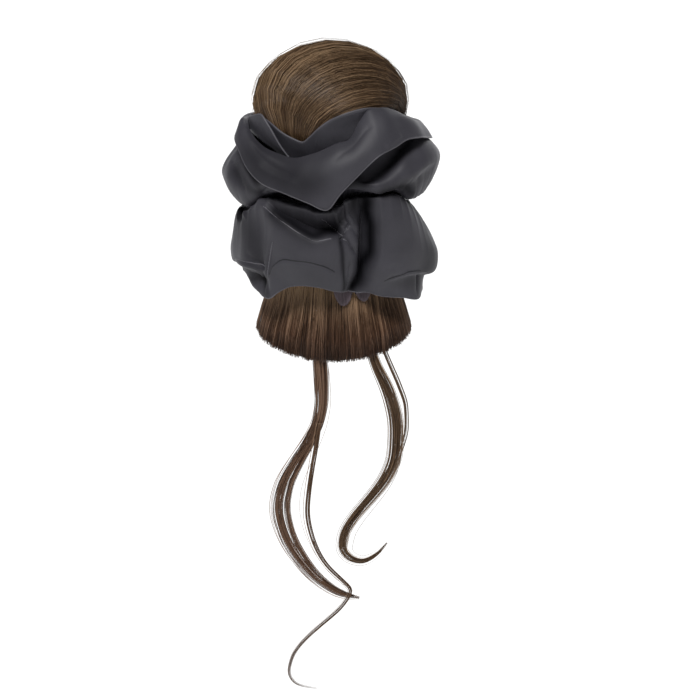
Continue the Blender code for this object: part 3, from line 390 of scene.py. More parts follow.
def ring_angles():
    """Column angles round a frill, close together in front and wider behind."""
    front = np.linspace(-FRONT_HALF, FRONT_HALF, round(2 * FRONT_HALF / FRONT_STEP) + 1)
    back_span = 360 - 2 * FRONT_HALF
    back = np.linspace(FRONT_HALF, FRONT_HALF + back_span, round(back_span / BACK_STEP) + 1)
    return np.concatenate([front, back[1:-1]])


def on_ring(angle, radius, height):
    """The point at an angle in degrees, a radius from the axis and a height."""
    turn = np.radians(angle)
    return np.stack([radius * np.sin(turn), -radius * np.cos(turn), height + 0 * turn], axis=-1)


def unit(vectors):
    """The vectors at length one."""
    return vectors / np.maximum(np.linalg.norm(vectors, axis=-1, keepdims=True), 1e-12)


def softened(values, spread, closed):
    """Values averaged along their first axis with a bell curve of that spread, in steps."""
    reach = int(np.ceil(3 * spread))
    steps = np.arange(-reach, reach + 1)
    weights = np.exp(-0.5 * (steps / spread) ** 2)
    weights /= weights.sum()
    count = len(values)
    total = np.zeros_like(values)
    for step, weight in zip(steps, weights):
        places = np.arange(count) + step
        places = places % count if closed else np.clip(places, 0, count - 1)
        total += weight * values[places]
    return total


def cloth_grid(rows, level_size, angles, closed=True):
    """Points of a cloth's middle face: a smooth surface through a table's rows and their pairs."""
    knots = [row[0] for row in rows]
    pairs = np.array([row[1:] for row in rows], float)
    profiles = smooth_curve(knots, pairs, angles, 360 if closed else None)
    profiles = softened(profiles, 1.6, closed)
    stations = np.arange(pairs.shape[1])
    samples = np.linspace(0, stations[-1], ROWS_PER_STATION * stations[-1] + 1)
    grid = np.stack([smooth_curve(stations, profile, samples) for profile in profiles])
    inner = softened(grid.transpose(1, 0, 2), 1.2, False).transpose(1, 0, 2)
    grid[:, 2:-2] = inner[:, 2:-2]
    radius = ROOT_RADIUS + grid[..., 0] * (FRILL_RADIUS - ROOT_RADIUS)
    height = WAIST_HEIGHT + grid[..., 1] * level_size
    return on_ring(np.asarray(angles)[:, None], radius, height)


def grid_normals(grid, closed=True):
    """Normals of a grid of points, out of the face that looks away from the axis."""
    if closed:
        across = np.roll(grid, -1, axis=0) - np.roll(grid, 1, axis=0)
    else:
        across = np.gradient(grid, axis=0)
    down = np.gradient(grid, axis=1)
    return unit(np.cross(across, down))


def grid_faces(columns, rows, closed):
    """Quads of a grid of points that is counted row by row inside each column."""
    column = np.arange(columns if closed else columns - 1)[:, None]
    row = np.arange(rows - 1)[None, :]
    nearby = (column + 1) % columns
    corners = [column * rows + row, nearby * rows + row, nearby * rows + row + 1, column * rows + row + 1]
    return np.stack(corners, axis=-1).reshape(-1, 4)


# Meshes

def add_mesh(name, points, faces, material, values=None):
    """A smooth-shaded piece on the one body, with its named values at each point."""
    mesh = bpy.data.meshes.new(name)
    mesh.from_pydata(np.asarray(points).tolist(), [], faces if isinstance(faces, list) else faces.tolist())
    for key, numbers in (values or {}).items():
        layer = mesh.attributes.new(key, "FLOAT", "POINT")
        layer.data.foreach_set("value", np.ascontiguousarray(numbers, dtype=np.float32).ravel())
    mesh.materials.append(material)
    mesh.shade_smooth()
    obj = bpy.data.objects.new(name, mesh)
    bpy.context.scene.collection.objects.link(obj)
    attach(obj, "root")
    return obj


def add_strands(name, paths, radii, outward, material, shade, warmth):
    """Closed three-sided strands along their paths, one colour value each."""
    count, steps = paths.shape[:2]
    ahead = unit(np.gradient(paths, axis=1))
    side = unit(np.cross(ahead, outward))
    out = np.cross(side, ahead)
    corners = []
    for k in range(STRAND_SIDES):
        turn = np.pi / 2 + 2 * np.pi * k / STRAND_SIDES
        corners.append(paths + radii[..., None] * (np.cos(turn) * side + np.sin(turn) * out))
    points = np.stack(corners, axis=2)
    ids = np.arange(count * steps * STRAND_SIDES).reshape(count, steps, STRAND_SIDES)
    nearby = np.roll(ids, -1, axis=2)
    walls = np.stack([ids[:, :-1], nearby[:, :-1], nearby[:, 1:], ids[:, 1:]], axis=-1).reshape(-1, 4)
    faces = walls.tolist() + ids[:, 0, ::-1].tolist() + ids[:, -1].tolist()
    spread = (count, steps, STRAND_SIDES)
    values = {
        "shade": np.broadcast_to(shade[:, None, None] if np.ndim(shade) == 1 else shade[..., None], spread),
        "warmth": np.broadcast_to(warmth if np.ndim(warmth) == 0 else warmth[..., None], spread),
    }
    return add_mesh(name, points.reshape(-1, 3), faces, material, values)


# Materials

def new_material(name):
    made = bpy.data.materials.new(name)
    made.use_nodes = True
    return made, made.node_tree, made.node_tree.nodes["Principled BSDF"]


def add_node(tree, kind, settings=None, inputs=None):
    """A node with its settings, its plain input values and its linked inputs."""
    node = tree.nodes.new(kind)
    for key, value in (settings or {}).items():
        setattr(node, key, value)
    for key, value in (inputs or {}).items():
        if isinstance(value, bpy.types.NodeSocket):
            tree.links.new(value, node.inputs[key])
        else:
            node.inputs[key].default_value = value
    return node


def ramp(tree, factor, stops):
    """A colour ramp with (place, colour) stops."""
    node = add_node(tree, "ShaderNodeValToRGB", inputs={"Fac": factor})
    elements = node.color_ramp.elements
    while len(elements) < len(stops):
        elements.new(0.5)
    for element, (place, colour) in zip(elements, stops):
        element.position = place
        element.color = (*colour, 1)
    return node.outputs["Color"]


def hair_material(name, dark, middle, light, red_dark, red_middle, red_light):
    made, tree, shader = new_material(name)
    # The shade value gives each strand's own tone, with painted light, highlight and shade added in places.
    shade = add_node(tree, "ShaderNodeAttribute", {"attribute_name": "shade"}).outputs["Fac"]
    warmth = add_node(tree, "ShaderNodeAttribute", {"attribute_name": "warmth"}).outputs["Fac"]
    cool = ramp(tree, shade, [(0.0, dark), (0.55, middle), (1.0, light)])
    warm = ramp(tree, shade, [(0.0, red_dark), (0.55, red_middle), (1.0, red_light)])
    mixed = add_node(tree, "ShaderNodeMix", {"data_type": "RGBA"})
    tree.links.new(warmth, mixed.inputs[0])
    tree.links.new(cool, mixed.inputs[6])
    tree.links.new(warm, mixed.inputs[7])
    tree.links.new(mixed.outputs[2], shader.inputs["Base Color"])
    shader.inputs["Roughness"].default_value = 0.42
    shader.inputs["Specular IOR Level"].default_value = 0.24
    return made


def satin_material(name, dark, light, roughness):
    """Charcoal satin: fine threads along the cloth, a soft sheen, a slightly uneven dye, and painted shade in
    the folds that darkens the colour and fades the specular and sheen.
    """
    made, tree, shader = new_material(name)
    place = add_node(tree, "ShaderNodeUVMap", {"uv_map": "cloth"}).outputs["UV"]
    along = add_node(tree, "ShaderNodeMapping", inputs={"Vector": place, "Scale": (1400.0, 260.0, 1.0)})
    threads = add_node(
        tree,
        "ShaderNodeTexNoise",
        inputs={"Vector": along.outputs["Vector"], "Scale": 1.0, "Detail": 3.0, "Roughness": 0.6},
    )
    across = add_node(tree, "ShaderNodeMapping", inputs={"Vector": place, "Scale": (240.0, 1500.0, 1.0)})
    weft = add_node(
        tree,
        "ShaderNodeTexNoise",
        inputs={"Vector": across.outputs["Vector"], "Scale": 1.0, "Detail": 2.0, "Roughness": 0.5},
    )
    weave = add_node(tree, "ShaderNodeMath", {"operation": "ADD"})
    tree.links.new(threads.outputs["Fac"], weave.inputs[0])
    tree.links.new(weft.outputs["Fac"], weave.inputs[1])
    wide = add_node(
        tree,
        "ShaderNodeTexNoise",
        inputs={
            "Vector": add_node(tree, "ShaderNodeNewGeometry").outputs["Position"],
            "Scale": 38.0,
            "Detail": 4.0,
            "Roughness": 0.55,
        },
    )
    dye = ramp(tree, wide.outputs["Fac"], [(0.30, dark), (0.70, light)])
    # Painted shade: the painted fold shade value mixes the colour towards near black in the folds.
    depth = add_node(tree, "ShaderNodeAttribute", {"attribute_name": "painted_fold_shade"}).outputs["Fac"]
    painted_shade_mix = add_node(tree, "ShaderNodeMix", {"data_type": "RGBA"})
    painted_shade_mix.inputs[7].default_value = (0.0012, 0.0012, 0.0016, 1)
    tree.links.new(depth, painted_shade_mix.inputs[0])
    tree.links.new(dye, painted_shade_mix.inputs[6])
    tree.links.new(painted_shade_mix.outputs[2], shader.inputs["Base Color"])
    bump = add_node(
        tree,
        "ShaderNodeBump",
        inputs={"Strength": 0.35, "Distance": 0.00012, "Height": weave.outputs["Value"]},
    )
    tree.links.new(bump.outputs["Normal"], shader.inputs["Normal"])
    shader.inputs["Roughness"].default_value = roughness
    # Painted shade: the specular and sheen fade out where the painted fold shade is strong.
    for socket, open_value in (("Specular IOR Level", 0.32), ("Sheen Weight", 0.06)):
        reach = {"Value": depth, "To Min": open_value, "To Max": 0.0}
        fading = add_node(tree, "ShaderNodeMapRange", inputs=reach)
        tree.links.new(fading.outputs["Result"], shader.inputs[socket])
    shader.inputs["Sheen Roughness"].default_value = 0.45
    shader.inputs["Sheen Tint"].default_value = (0.75, 0.75, 0.85, 1)
    return made


def floor_material():
    made, tree, shader = new_material("pale_floor")
    noise = add_node(tree, "ShaderNodeTexNoise", inputs={"Scale": 3.0, "Detail": 2.0})
    colour = ramp(tree, noise.outputs["Fac"], [(0.0, (0.95, 0.95, 0.95)), (1.0, (0.97, 0.97, 0.97))])
    tree.links.new(colour, shader.inputs["Base Color"])
    shader.inputs["Roughness"].default_value = 0.9
    shader.inputs["Emission Color"].default_value = (1, 1, 1, 1)
    shader.inputs["Emission Strength"].default_value = 0.06
    return made


def comb_material():
    made, tree, shader = new_material("comb_plastic")
    noise = add_node(tree, "ShaderNodeTexNoise", inputs={"Scale": 220.0, "Detail": 3.0})
    colour = ramp(tree, noise.outputs["Fac"], [(0.3, (0.022, 0.014, 0.010)), (0.7, (0.045, 0.026, 0.016))])
    tree.links.new(colour, shader.inputs["Base Color"])
    shader.inputs["Roughness"].default_value = 0.3
    return made


SATIN = satin_material("charcoal_satin", (0.0225, 0.0215, 0.0270), (0.0320, 0.0305, 0.0380), 0.60)
# Painted highlight: a lighter, smoother copy of the satin for hems and fold edges, standing for the light they
# catch.
SATIN_PAINTED_HIGHLIGHT = satin_material("charcoal_satin_painted_highlight", (0.044, 0.042, 0.050), (0.066, 0.063, 0.073), 0.50)
# Painted shade: a near-black satin for the tubes along the seams, standing for the shade in the seam grooves.
SEAM_GROOVE_PAINTED_SHADE = satin_material("seam_groove_painted_shade", (0.0040, 0.0040, 0.0050), (0.0070, 0.0070, 0.0085), 0.70)
# The casing's satin is lighter than the charcoal: partly its own purple-grey tint, partly painted light where
# the casing lies in shadow.
CASING_TINT_AND_PAINTED_LIGHT = satin_material("casing_satin", (0.0400, 0.0280, 0.0350), (0.0700, 0.0500, 0.0600), 0.55)
HAIR = hair_material(
    "brown_hair",
    (0.0130, 0.0070, 0.0035),
    (0.0560, 0.0320, 0.0145),
    (0.3000, 0.2000, 0.1100),
    (0.0150, 0.0070, 0.0045),
    (0.0680, 0.0330, 0.0180),
    (0.2800, 0.1700, 0.1150),
)


# The frill's cloth

def waves(across, along, scale, count, seed):
    """A smooth uneven field in about -1 to 1, made of random plane waves of about that wavelength."""
    random = np.random.default_rng(seed)
    total = np.zeros(np.broadcast(across, along).shape)
    for _ in range(count):
        heading = random.uniform(0, 2 * np.pi)
        pitch = scale * random.uniform(0.7, 1.5)
        phase = random.uniform(0, 2 * np.pi)
        place = across * np.cos(heading) + along * np.sin(heading)
        total = total + np.cos(2 * np.pi * place / pitch + phase)
    return total / np.sqrt(count)


def pleats(angles, count, seed):
    """Uneven folds round a ring, sharp in their valleys: 1 on a crest and 0 in a valley."""
    random = np.random.default_rng(seed)
    turn = np.radians(angles)
    total = np.zeros_like(turn)
    for step in range(-4, 5):
        total = total + np.cos((count + step * 2) * turn + random.uniform(0, 2 * np.pi)) / (1 + abs(step))
    total /= np.abs(total).max()
    return np.abs(total) ** 0.6


def profile_lengths(grid):
    """Length along each column from its first point."""
    steps = np.linalg.norm(np.diff(grid, axis=1), axis=-1)
    return np.concatenate([np.zeros((len(grid), 1)), np.cumsum(steps, axis=1)], axis=1)


def grid_place(grid, angles, angle, share, closed=True):
    """The point of a grid at an angle and at a share of the way along its column."""
    column = np.interp(angle, angles, np.arange(len(angles)))
    row = share * (grid.shape[1] - 1)
    c0 = int(np.floor(column))
    r0 = min(int(np.floor(row)), grid.shape[1] - 2)
    c1 = (c0 + 1) % len(grid) if closed else min(c0 + 1, len(grid) - 1)
    u, v = column - c0, row - r0
    near = grid[c0, r0] * (1 - v) + grid[c0, r0 + 1] * v
    far = grid[c1, r0] * (1 - v) + grid[c1, r0 + 1] * v
    return near * (1 - u) + far * u


def crease_line(grid, angles, places, closed=True):
    """Points along a crease through its (angle, share) places."""
    knots = np.arange(len(places))
    fine = smooth_curve(knots, np.array(places, float), np.linspace(0, knots[-1], 8 * knots[-1] + 1))
    return np.array([grid_place(grid, angles, a, s, closed) for a, s in fine])


def near_line(points, line):
    """Each point's distance to a line of points, its share along it, its offset and the line's heading."""
    best = np.full(points.shape[:-1], np.inf)
    along = np.zeros(points.shape[:-1])
    offset = np.zeros(points.shape)
    heading = np.zeros(points.shape)
    for k in range(len(line) - 1):
        start, way = line[k], line[k + 1] - line[k]
        size = max(way @ way, 1e-14)
        t = np.clip(((points - start) @ way) / size, 0, 1)
        away = points - (start + t[..., None] * way)
        distance = np.linalg.norm(away, axis=-1)
        closer = distance < best
        best = np.where(closer, distance, best)
        along = np.where(closer, (k + t) / (len(line) - 1), along)
        offset = np.where(closer[..., None], away, offset)
        heading = np.where(closer[..., None], way / np.sqrt(size), heading)
    return best, along, offset, heading


def add_creases(grid, angles, creases, closed=True):
    """Presses creases into a cloth: a fold steps down on its right, a ridge stands out, a valley sinks."""
    normals = grid_normals(grid, closed)
    push = np.zeros(grid.shape[:2])
    for kind, width, depth, places in creases:
        line = crease_line(grid, angles, places, closed)
        distance, along, offset, heading = near_line(grid, line)
        fade = np.clip(np.minimum(along, 1 - along) * 5, 0, 1)
        fade = fade * fade * (3 - 2 * fade)
        fall = np.exp(-distance / width)
        if kind == "valley":
            push -= depth * fade * fall
        elif kind == "ridge":
            push += depth * fade * fall
        else:
            side = np.einsum("...i,...i", np.cross(heading, normals), offset)
            step = np.tanh(side / 0.0007)
            push -= depth * fade * fall * step
    return grid + normals * push[..., None]


def painted_fold_shade(grid, angles, painted_shades, closed=True):
    """How much painted shade each point of a cloth gets, from 0 on the open cloth to 1 in the darkest painted
    fold.
    """
    depth = np.zeros(grid.shape[:2])
    for width, strength, places in painted_shades:
        line = crease_line(grid, angles, places, closed)
        distance = near_line(grid, line)[0]
        depth = 1 - (1 - depth) * (1 - strength * np.exp(-((distance / width) ** 2)))
    return depth


def lay_outside(grid, below, clearance):
    """Moves a cloth's points out from the axis until they clear the layer below, column by column."""
    radius = np.hypot(grid[..., 0], grid[..., 1])
    below_radius = np.hypot(below[..., 0], below[..., 1])
    clear = radius.copy()
    for c in range(len(grid)):
        away = grid[c, :, 2][:, None] - below[c, :, 2][None, :]
        near = np.abs(away) < clearance
        reach = below_radius[c][None, :] + np.sqrt(np.where(near, clearance**2 - away**2, 0))
        clear[c] = np.maximum(radius[c], np.where(near, reach, 0).max(axis=1))
    moved = grid.copy()
    moved[..., :2] *= (clear / radius)[..., None]
    return moved


def hang_below(grid, above, clearance):
    """Lowers a cloth's points until they clear the layer above, column by column."""
    radius = np.hypot(grid[..., 0], grid[..., 1])
    above_radius = np.hypot(above[..., 0], above[..., 1])
    moved = grid.copy()
    for c in range(len(grid)):
        away = radius[c][:, None] - above_radius[c][None, :]
        near = np.abs(away) < clearance
        level = above[c, :, 2][None, :] - np.sqrt(np.where(near, clearance**2 - away**2, 0))
        moved[c, :, 2] = np.minimum(grid[c, :, 2], np.where(near, level, np.inf).min(axis=1))
    return moved


def gathered(grid, angles, depth, reach, seed):
    """Draws a cloth's root into fine uneven pleats that fade out along it."""
    lengths = profile_lengths(grid)
    fine = pleats(angles, 64, seed)[:, None] - 0.6
    coarse = pleats(angles, 26, seed + 1)[:, None] - 0.6
    start = np.clip(lengths / 0.003, 0, 1)
    near = np.exp(-((lengths / reach) ** 2))
    far = np.exp(-((lengths / (2.4 * reach)) ** 2))
    push = depth * start * (fine * near + 1.3 * coarse * far)
    return grid + grid_normals(grid) * push[..., None]


def rippled(grid, angles, depth, scale, seed, closed=True):
    """Gives a cloth the slight unevenness that no real one is without."""
    lengths = profile_lengths(grid)
    around = np.radians(angles)[:, None] * FRILL_RADIUS
    first = waves(around, lengths, scale, 7, seed)
    if closed:
        again = waves(around - 2 * np.pi * FRILL_RADIUS, lengths, scale, 7, seed)
        blend = np.clip((np.asarray(angles)[:, None] - angles[-1] + 40) / 40, 0, 1)
        first = first * (1 - blend) + again * blend
    ends = np.clip(lengths / 0.006, 0, 1)
    return grid + grid_normals(grid, closed) * (depth * ends * first)[..., None]


def add_cloth(name, grid, angles, closed, node, painted_shades=()):
    """A cloth of even thickness about a grid, with its place along and across the cloth as its map."""
    columns, rows = grid.shape[:2]
    faces = grid_faces(columns, rows, closed)
    # The painted fold shade, as a value at each point.
    values = {"painted_fold_shade": painted_fold_shade(grid, angles, painted_shades, closed)}
    obj = add_mesh(name, grid.reshape(-1, 3), faces, SATIN, values)
    lengths = profile_lengths(grid)
    around = np.radians(np.append(angles, angles[0] + 360)) * FRILL_RADIUS
    layer = obj.data.uv_layers.new(name="cloth")
    column = faces // rows
    row = faces % rows
    last = (column == 0) & (column[:, :1] == columns - 1)
    across = np.where(last, around[-1], around[column])
    layer.data.foreach_set("uv", np.stack([across, lengths[column, row]], axis=-1).ravel())
    thicken = obj.modifiers.new("thickness", "SOLIDIFY")
    thicken.thickness = CLOTH
    thicken.offset = 0
    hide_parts(node)
    return obj


def add_hem(name, path, radius, closed, material):
    """A thin round edge along a path: a rolled hem, a fold's edge or a seam line, in the material given: painted
    highlight satin for hems and edges, painted shade for seams.
    """
    count = len(path)
    if closed:
        ahead = unit(np.roll(path, -1, axis=0) - np.roll(path, 1, axis=0))
    else:
        ahead = unit(np.gradient(path, axis=0))
    side = unit(np.cross(ahead, np.array([0.0, 0.0, 1.0])))
    up = np.cross(side, ahead)
    turns = np.linspace(0, 2 * np.pi, 6, endpoint=False)
    ring = [path + radius * (np.cos(t) * side + np.sin(t) * up) for t in turns]
    points = np.stack(ring, axis=1)
    sides = points.shape[1]
    column = np.arange(count if closed else count - 1)[:, None]
    nearby = (column + 1) % count
    k = np.arange(sides)[None, :]
    after = (k + 1) % sides
    corners = [column * sides + k, nearby * sides + k, nearby * sides + after, column * sides + after]
    faces = np.stack(corners, axis=-1).reshape(-1, 4).tolist()
    if not closed:
        faces.append([n for n in range(sides)][::-1])
        faces.append([(count - 1) * sides + n for n in range(sides)])
    obj = add_mesh(name, points.reshape(-1, 3), faces, material)
    uv = obj.data.uv_layers.new(name="cloth")
    spots = np.zeros((len(obj.data.loops), 2))
    indices = np.zeros(len(obj.data.loops), int)
    obj.data.loops.foreach_get("vertex_index", indices)
    spots[:, 0] = indices // sides * 0.001
    spots[:, 1] = indices % sides * 0.0006
    uv.data.foreach_set("uv", spots.ravel())
    return obj


# Each crease gives its kind, its width and depth, and its places: an angle and a share of the way along the
# cloth. A fold steps down on its right side as it runs, a ridge stands out and a valley sinks.
COLLAR_CREASES = [
    ("ridge", 0.0030, 0.0012, [(-54, 0.56), (-40, 0.62), (-28, 0.67), (-15, 0.73)]),
    ("valley", 0.0050, 0.0014, [(-46, 0.76), (-30, 0.80), (-14, 0.84)]),
    ("ridge", 0.0030, 0.0010, [(0, 0.62), (8, 0.52), (18, 0.50), (26, 0.58)]),
    ("valley", 0.0016, 0.0008, [(28, 0.97), (34, 0.90), (41, 0.86)]),
]
UPPER_CREASES = [
    ("ridge", 0.0022, 0.0016, [(78, 0.62), (60, 0.60), (54, 0.60), (46, 0.58), (41, 0.55)]),
    ("valley", 0.0030, 0.0022, [(70, 0.55), (58, 0.54), (48, 0.51), (42, 0.49)]),
    ("valley", 0.0040, 0.0034, [(14, 0.60), (22, 0.67), (30, 0.71), (38, 0.74), (48, 0.78), (58, 0.84)]),
    ("ridge", 0.0030, 0.0014, [(20, 0.58), (30, 0.64), (38, 0.66), (50, 0.69)]),
    ("valley", 0.0026, 0.0014, [(-76, 0.76), (-61, 0.68), (-52, 0.56)]),
    ("ridge", 0.0030, 0.0012, [(-70, 0.85), (-59, 0.77), (-48, 0.67), (-42, 0.50)]),
    ("valley", 0.0012, 0.0010, [(-46, 0.42), (-40, 0.50), (-34, 0.55)]),
]
LOWER_CREASES = [
    ("ridge", 0.0012, 0.0010, [(-42, 0.38), (-35, 0.42), (-28, 0.43), (-15, 0.44), (-8, 0.44), (0, 0.43)]),
    ("valley", 0.0030, 0.0020, [(-32, 0.26), (-22, 0.28), (-12, 0.30), (-4, 0.32), (3, 0.36)]),
    ("fold", 0.0060, 0.0009, [(-38, 1.00), (-40, 0.92), (-41, 0.82), (-38, 0.73), (-36, 0.66), (-33, 0.56)]),
    ("ridge", 0.0014, 0.0012, [(-56, 0.61), (-50, 0.65), (-45, 0.69), (-38, 0.72)]),
    ("fold", 0.0050, 0.0012, [(-38, 0.73), (-46, 0.71), (-52, 0.70), (-62, 0.71), (-74, 0.72)]),
    ("valley", 0.0022, 0.0022, [(-72, 0.78), (-60, 0.79), (-50, 0.80), (-43, 0.82)]),
    ("fold", 0.0040, 0.0008,
     [(4, 0.76), (0, 0.74), (-6, 0.70), (-12, 0.69), (-24, 0.69), (-32, 0.73), (-37, 0.77)]),
    ("valley", 0.0010, 0.0014, [(6, 0.44), (6, 0.62), (6, 0.76), (7, 1.00)]),
    ("ridge", 0.0011, 0.0026, [(-6, 0.20), (0, 0.26), (4, 0.35), (7, 0.41)]),
    ("ridge", 0.0011, 0.0030, [(5, 0.39), (9, 0.50), (12, 0.57), (17, 0.63)]),
    ("ridge", 0.0010, 0.0022, [(11, 0.36), (8, 0.41), (4, 0.44)]),
    ("valley", 0.0014, 0.0024, [(4, 0.05), (2, 0.14), (4, 0.25), (8, 0.38), (10, 0.46)]),
    ("ridge", 0.0014, 0.0016, [(8, 0.08), (8, 0.26), (11, 0.40), (17, 0.52), (19, 0.62)]),
    ("valley", 0.0012, 0.0014, [(9, 0.10), (10, 0.26), (14, 0.42)]),
    ("ridge", 0.0014, 0.0012, [(11, 0.14), (12, 0.30), (17, 0.44)]),
    ("ridge", 0.0018, 0.0010, [(12, 0.66), (11, 0.79), (10, 0.96)]),
    ("ridge", 0.0016, 0.0008, [(29, 0.14), (28, 0.33), (28, 0.55), (27, 0.70)]),
    ("fold", 0.0040, 0.0008, [(64, 0.74), (54, 0.71), (46, 0.71), (42, 0.74), (37, 0.79), (32, 0.82)]),
    ("ridge", 0.0014, 0.0014, [(60, 0.80), (60, 0.98)]),
    ("ridge", 0.0012, 0.0006, [(31, 0.64), (36, 0.61), (42, 0.63)]),
    ("ridge", 0.0012, 0.0006, [(33, 0.69), (37, 0.66), (44, 0.66)]),
    ("valley", 0.0016, 0.0016, [(-86, 0.22), (-76, 0.30), (-66, 0.42)]),
    ("valley", 0.0014, 0.0014, [(-72, 0.18), (-62, 0.28), (-54, 0.44)]),
    ("ridge", 0.0014, 0.0014, [(-80, 0.20), (-68, 0.30), (-60, 0.44)]),
]


# Edges and seams that lie on the lower tier: the edges in painted highlight satin, the seams as near-black tubes
# of painted shade for their grooves
LOWER_SEAMS = [
    # name, material, radius, places
    ("left_seam", SEAM_GROOVE_PAINTED_SHADE, 0.00066,
     [(2, 0.745), (-6, 0.70), (-12, 0.69), (-24, 0.69), (-32, 0.73), (-37, 0.77)]),
    ("overlap_edge", SATIN_PAINTED_HIGHLIGHT, 0.00062, [(-41, 0.82), (-38, 0.73), (-36, 0.66), (-33, 0.57)]),
    ("side_fold_edge", SATIN_PAINTED_HIGHLIGHT, 0.00062,
     [(-39, 0.72), (-46, 0.70), (-52, 0.69), (-62, 0.70), (-74, 0.72)]),
    ("ridge_edge", SATIN_PAINTED_HIGHLIGHT, 0.00064,
     [(-40, 0.395), (-35, 0.42), (-28, 0.43), (-15, 0.44), (-8, 0.44), (0, 0.43)]),
    ("pinch_left_edge", SATIN_PAINTED_HIGHLIGHT, 0.00064, [(-6, 0.20), (0, 0.26), (4, 0.35), (7, 0.41)]),
    ("pinch_low_edge", SATIN_PAINTED_HIGHLIGHT, 0.00064, [(5, 0.39), (9, 0.50), (12, 0.57)]),
    ("pinch_right_edge", SATIN_PAINTED_HIGHLIGHT, 0.00064, [(11, 0.36), (8, 0.41), (5, 0.43)]),
    ("right_seam", SEAM_GROOVE_PAINTED_SHADE, 0.00066,
     [(66, 0.74), (54, 0.71), (46, 0.71), (42, 0.74), (37, 0.79), (32, 0.82)]),
]
HEM_RADIUS = 0.0006

# Painted shade in the darkest folds of each cloth: each row gives how wide and how strong the painted dark is,
# and the places it runs through.
# The dark is painted into the cloth's colour, on top of the shadows that the light makes.
LOWER_PAINTED_SHADES = [
    (0.0060, 0.80, [(-33, 0.37), (-25, 0.38), (-18, 0.38), (-12, 0.38), (-5, 0.35), (2, 0.33)]),
    (0.0050, 0.45, [(-28, 0.30), (-22, 0.26), (-14, 0.25), (-3, 0.24), (3, 0.24)]),
    (0.0060, 0.94,
     [(22, 0.10), (23, 0.22), (25, 0.34), (26, 0.46), (26, 0.58), (24, 0.68), (21, 0.80), (16, 0.92)]),
    (0.0030, 0.60, [(14, 0.08), (15, 0.30), (19, 0.46), (20, 0.60)]),
    (0.0040, 0.92, [(-64, 0.80), (-56, 0.84), (-50, 0.87), (-45, 0.88)]),
    (0.0030, 0.55, [(-44, 0.86), (-43, 0.92), (-41, 0.97)]),
    (0.0016, 0.70, [(5, 0.46), (6, 0.60), (7, 0.76), (8, 0.96)]),
    (0.0040, 0.70, [(-86, 0.20), (-76, 0.26), (-66, 0.34)]),
    (0.0140, 0.45, [(-70, 0.36), (-58, 0.44), (-50, 0.54), (-46, 0.66)]),
    (0.0150, 0.50, [(74, 0.36), (70, 0.50), (66, 0.66)]),
    (0.0040, 0.60, [(26, 0.08), (36, 0.10), (46, 0.14), (54, 0.18)]),
]
UPPER_PAINTED_SHADES = [
    (0.0045, 0.75, [(6, 0.50), (14, 0.60), (22, 0.68), (30, 0.72), (38, 0.74), (46, 0.77), (54, 0.82)]),
    (0.0040, 0.75, [(30, 0.46), (36, 0.47), (42, 0.47), (50, 0.46)]),
    (0.0050, 0.50, [(-64, 0.70), (-54, 0.64), (-46, 0.54)]),
]
COLLAR_PAINTED_SHADES = [
    (0.0130, 0.45, [(-46, 0.72), (-34, 0.78), (-24, 0.82), (-14, 0.84)]),
    (0.0090, 0.28, [(-30, 0.60), (-18, 0.66), (-6, 0.74)]),
]


def bun_envelope(angles):
    """A wall just outside the bun's lower half, as a cloth grid."""
    levels = np.linspace(NECK_TOP, BUN_LEVEL + BUN_RISE * 0.5, 40)
    size = np.where(levels < BUN_LEVEL, BUN_DROP, BUN_RISE)
    largest = 1 + max(swell for turn, width, swell in BUN_LOCKS)
    radius = BUN_RADIUS * largest * np.sqrt(1 - ((levels - BUN_LEVEL) / size) ** 2)
    grid = on_ring(np.asarray(angles)[:, None], radius[None, :], levels[None, :])
    grid[..., 0] += BUN_OFF_CENTRE
    return grid


def with_root(rows, root):
    """A frill's rows, each with the same first pair added where the cloth leaves the gathers."""
    return [(row[0], root) + row[1:] for row in rows]


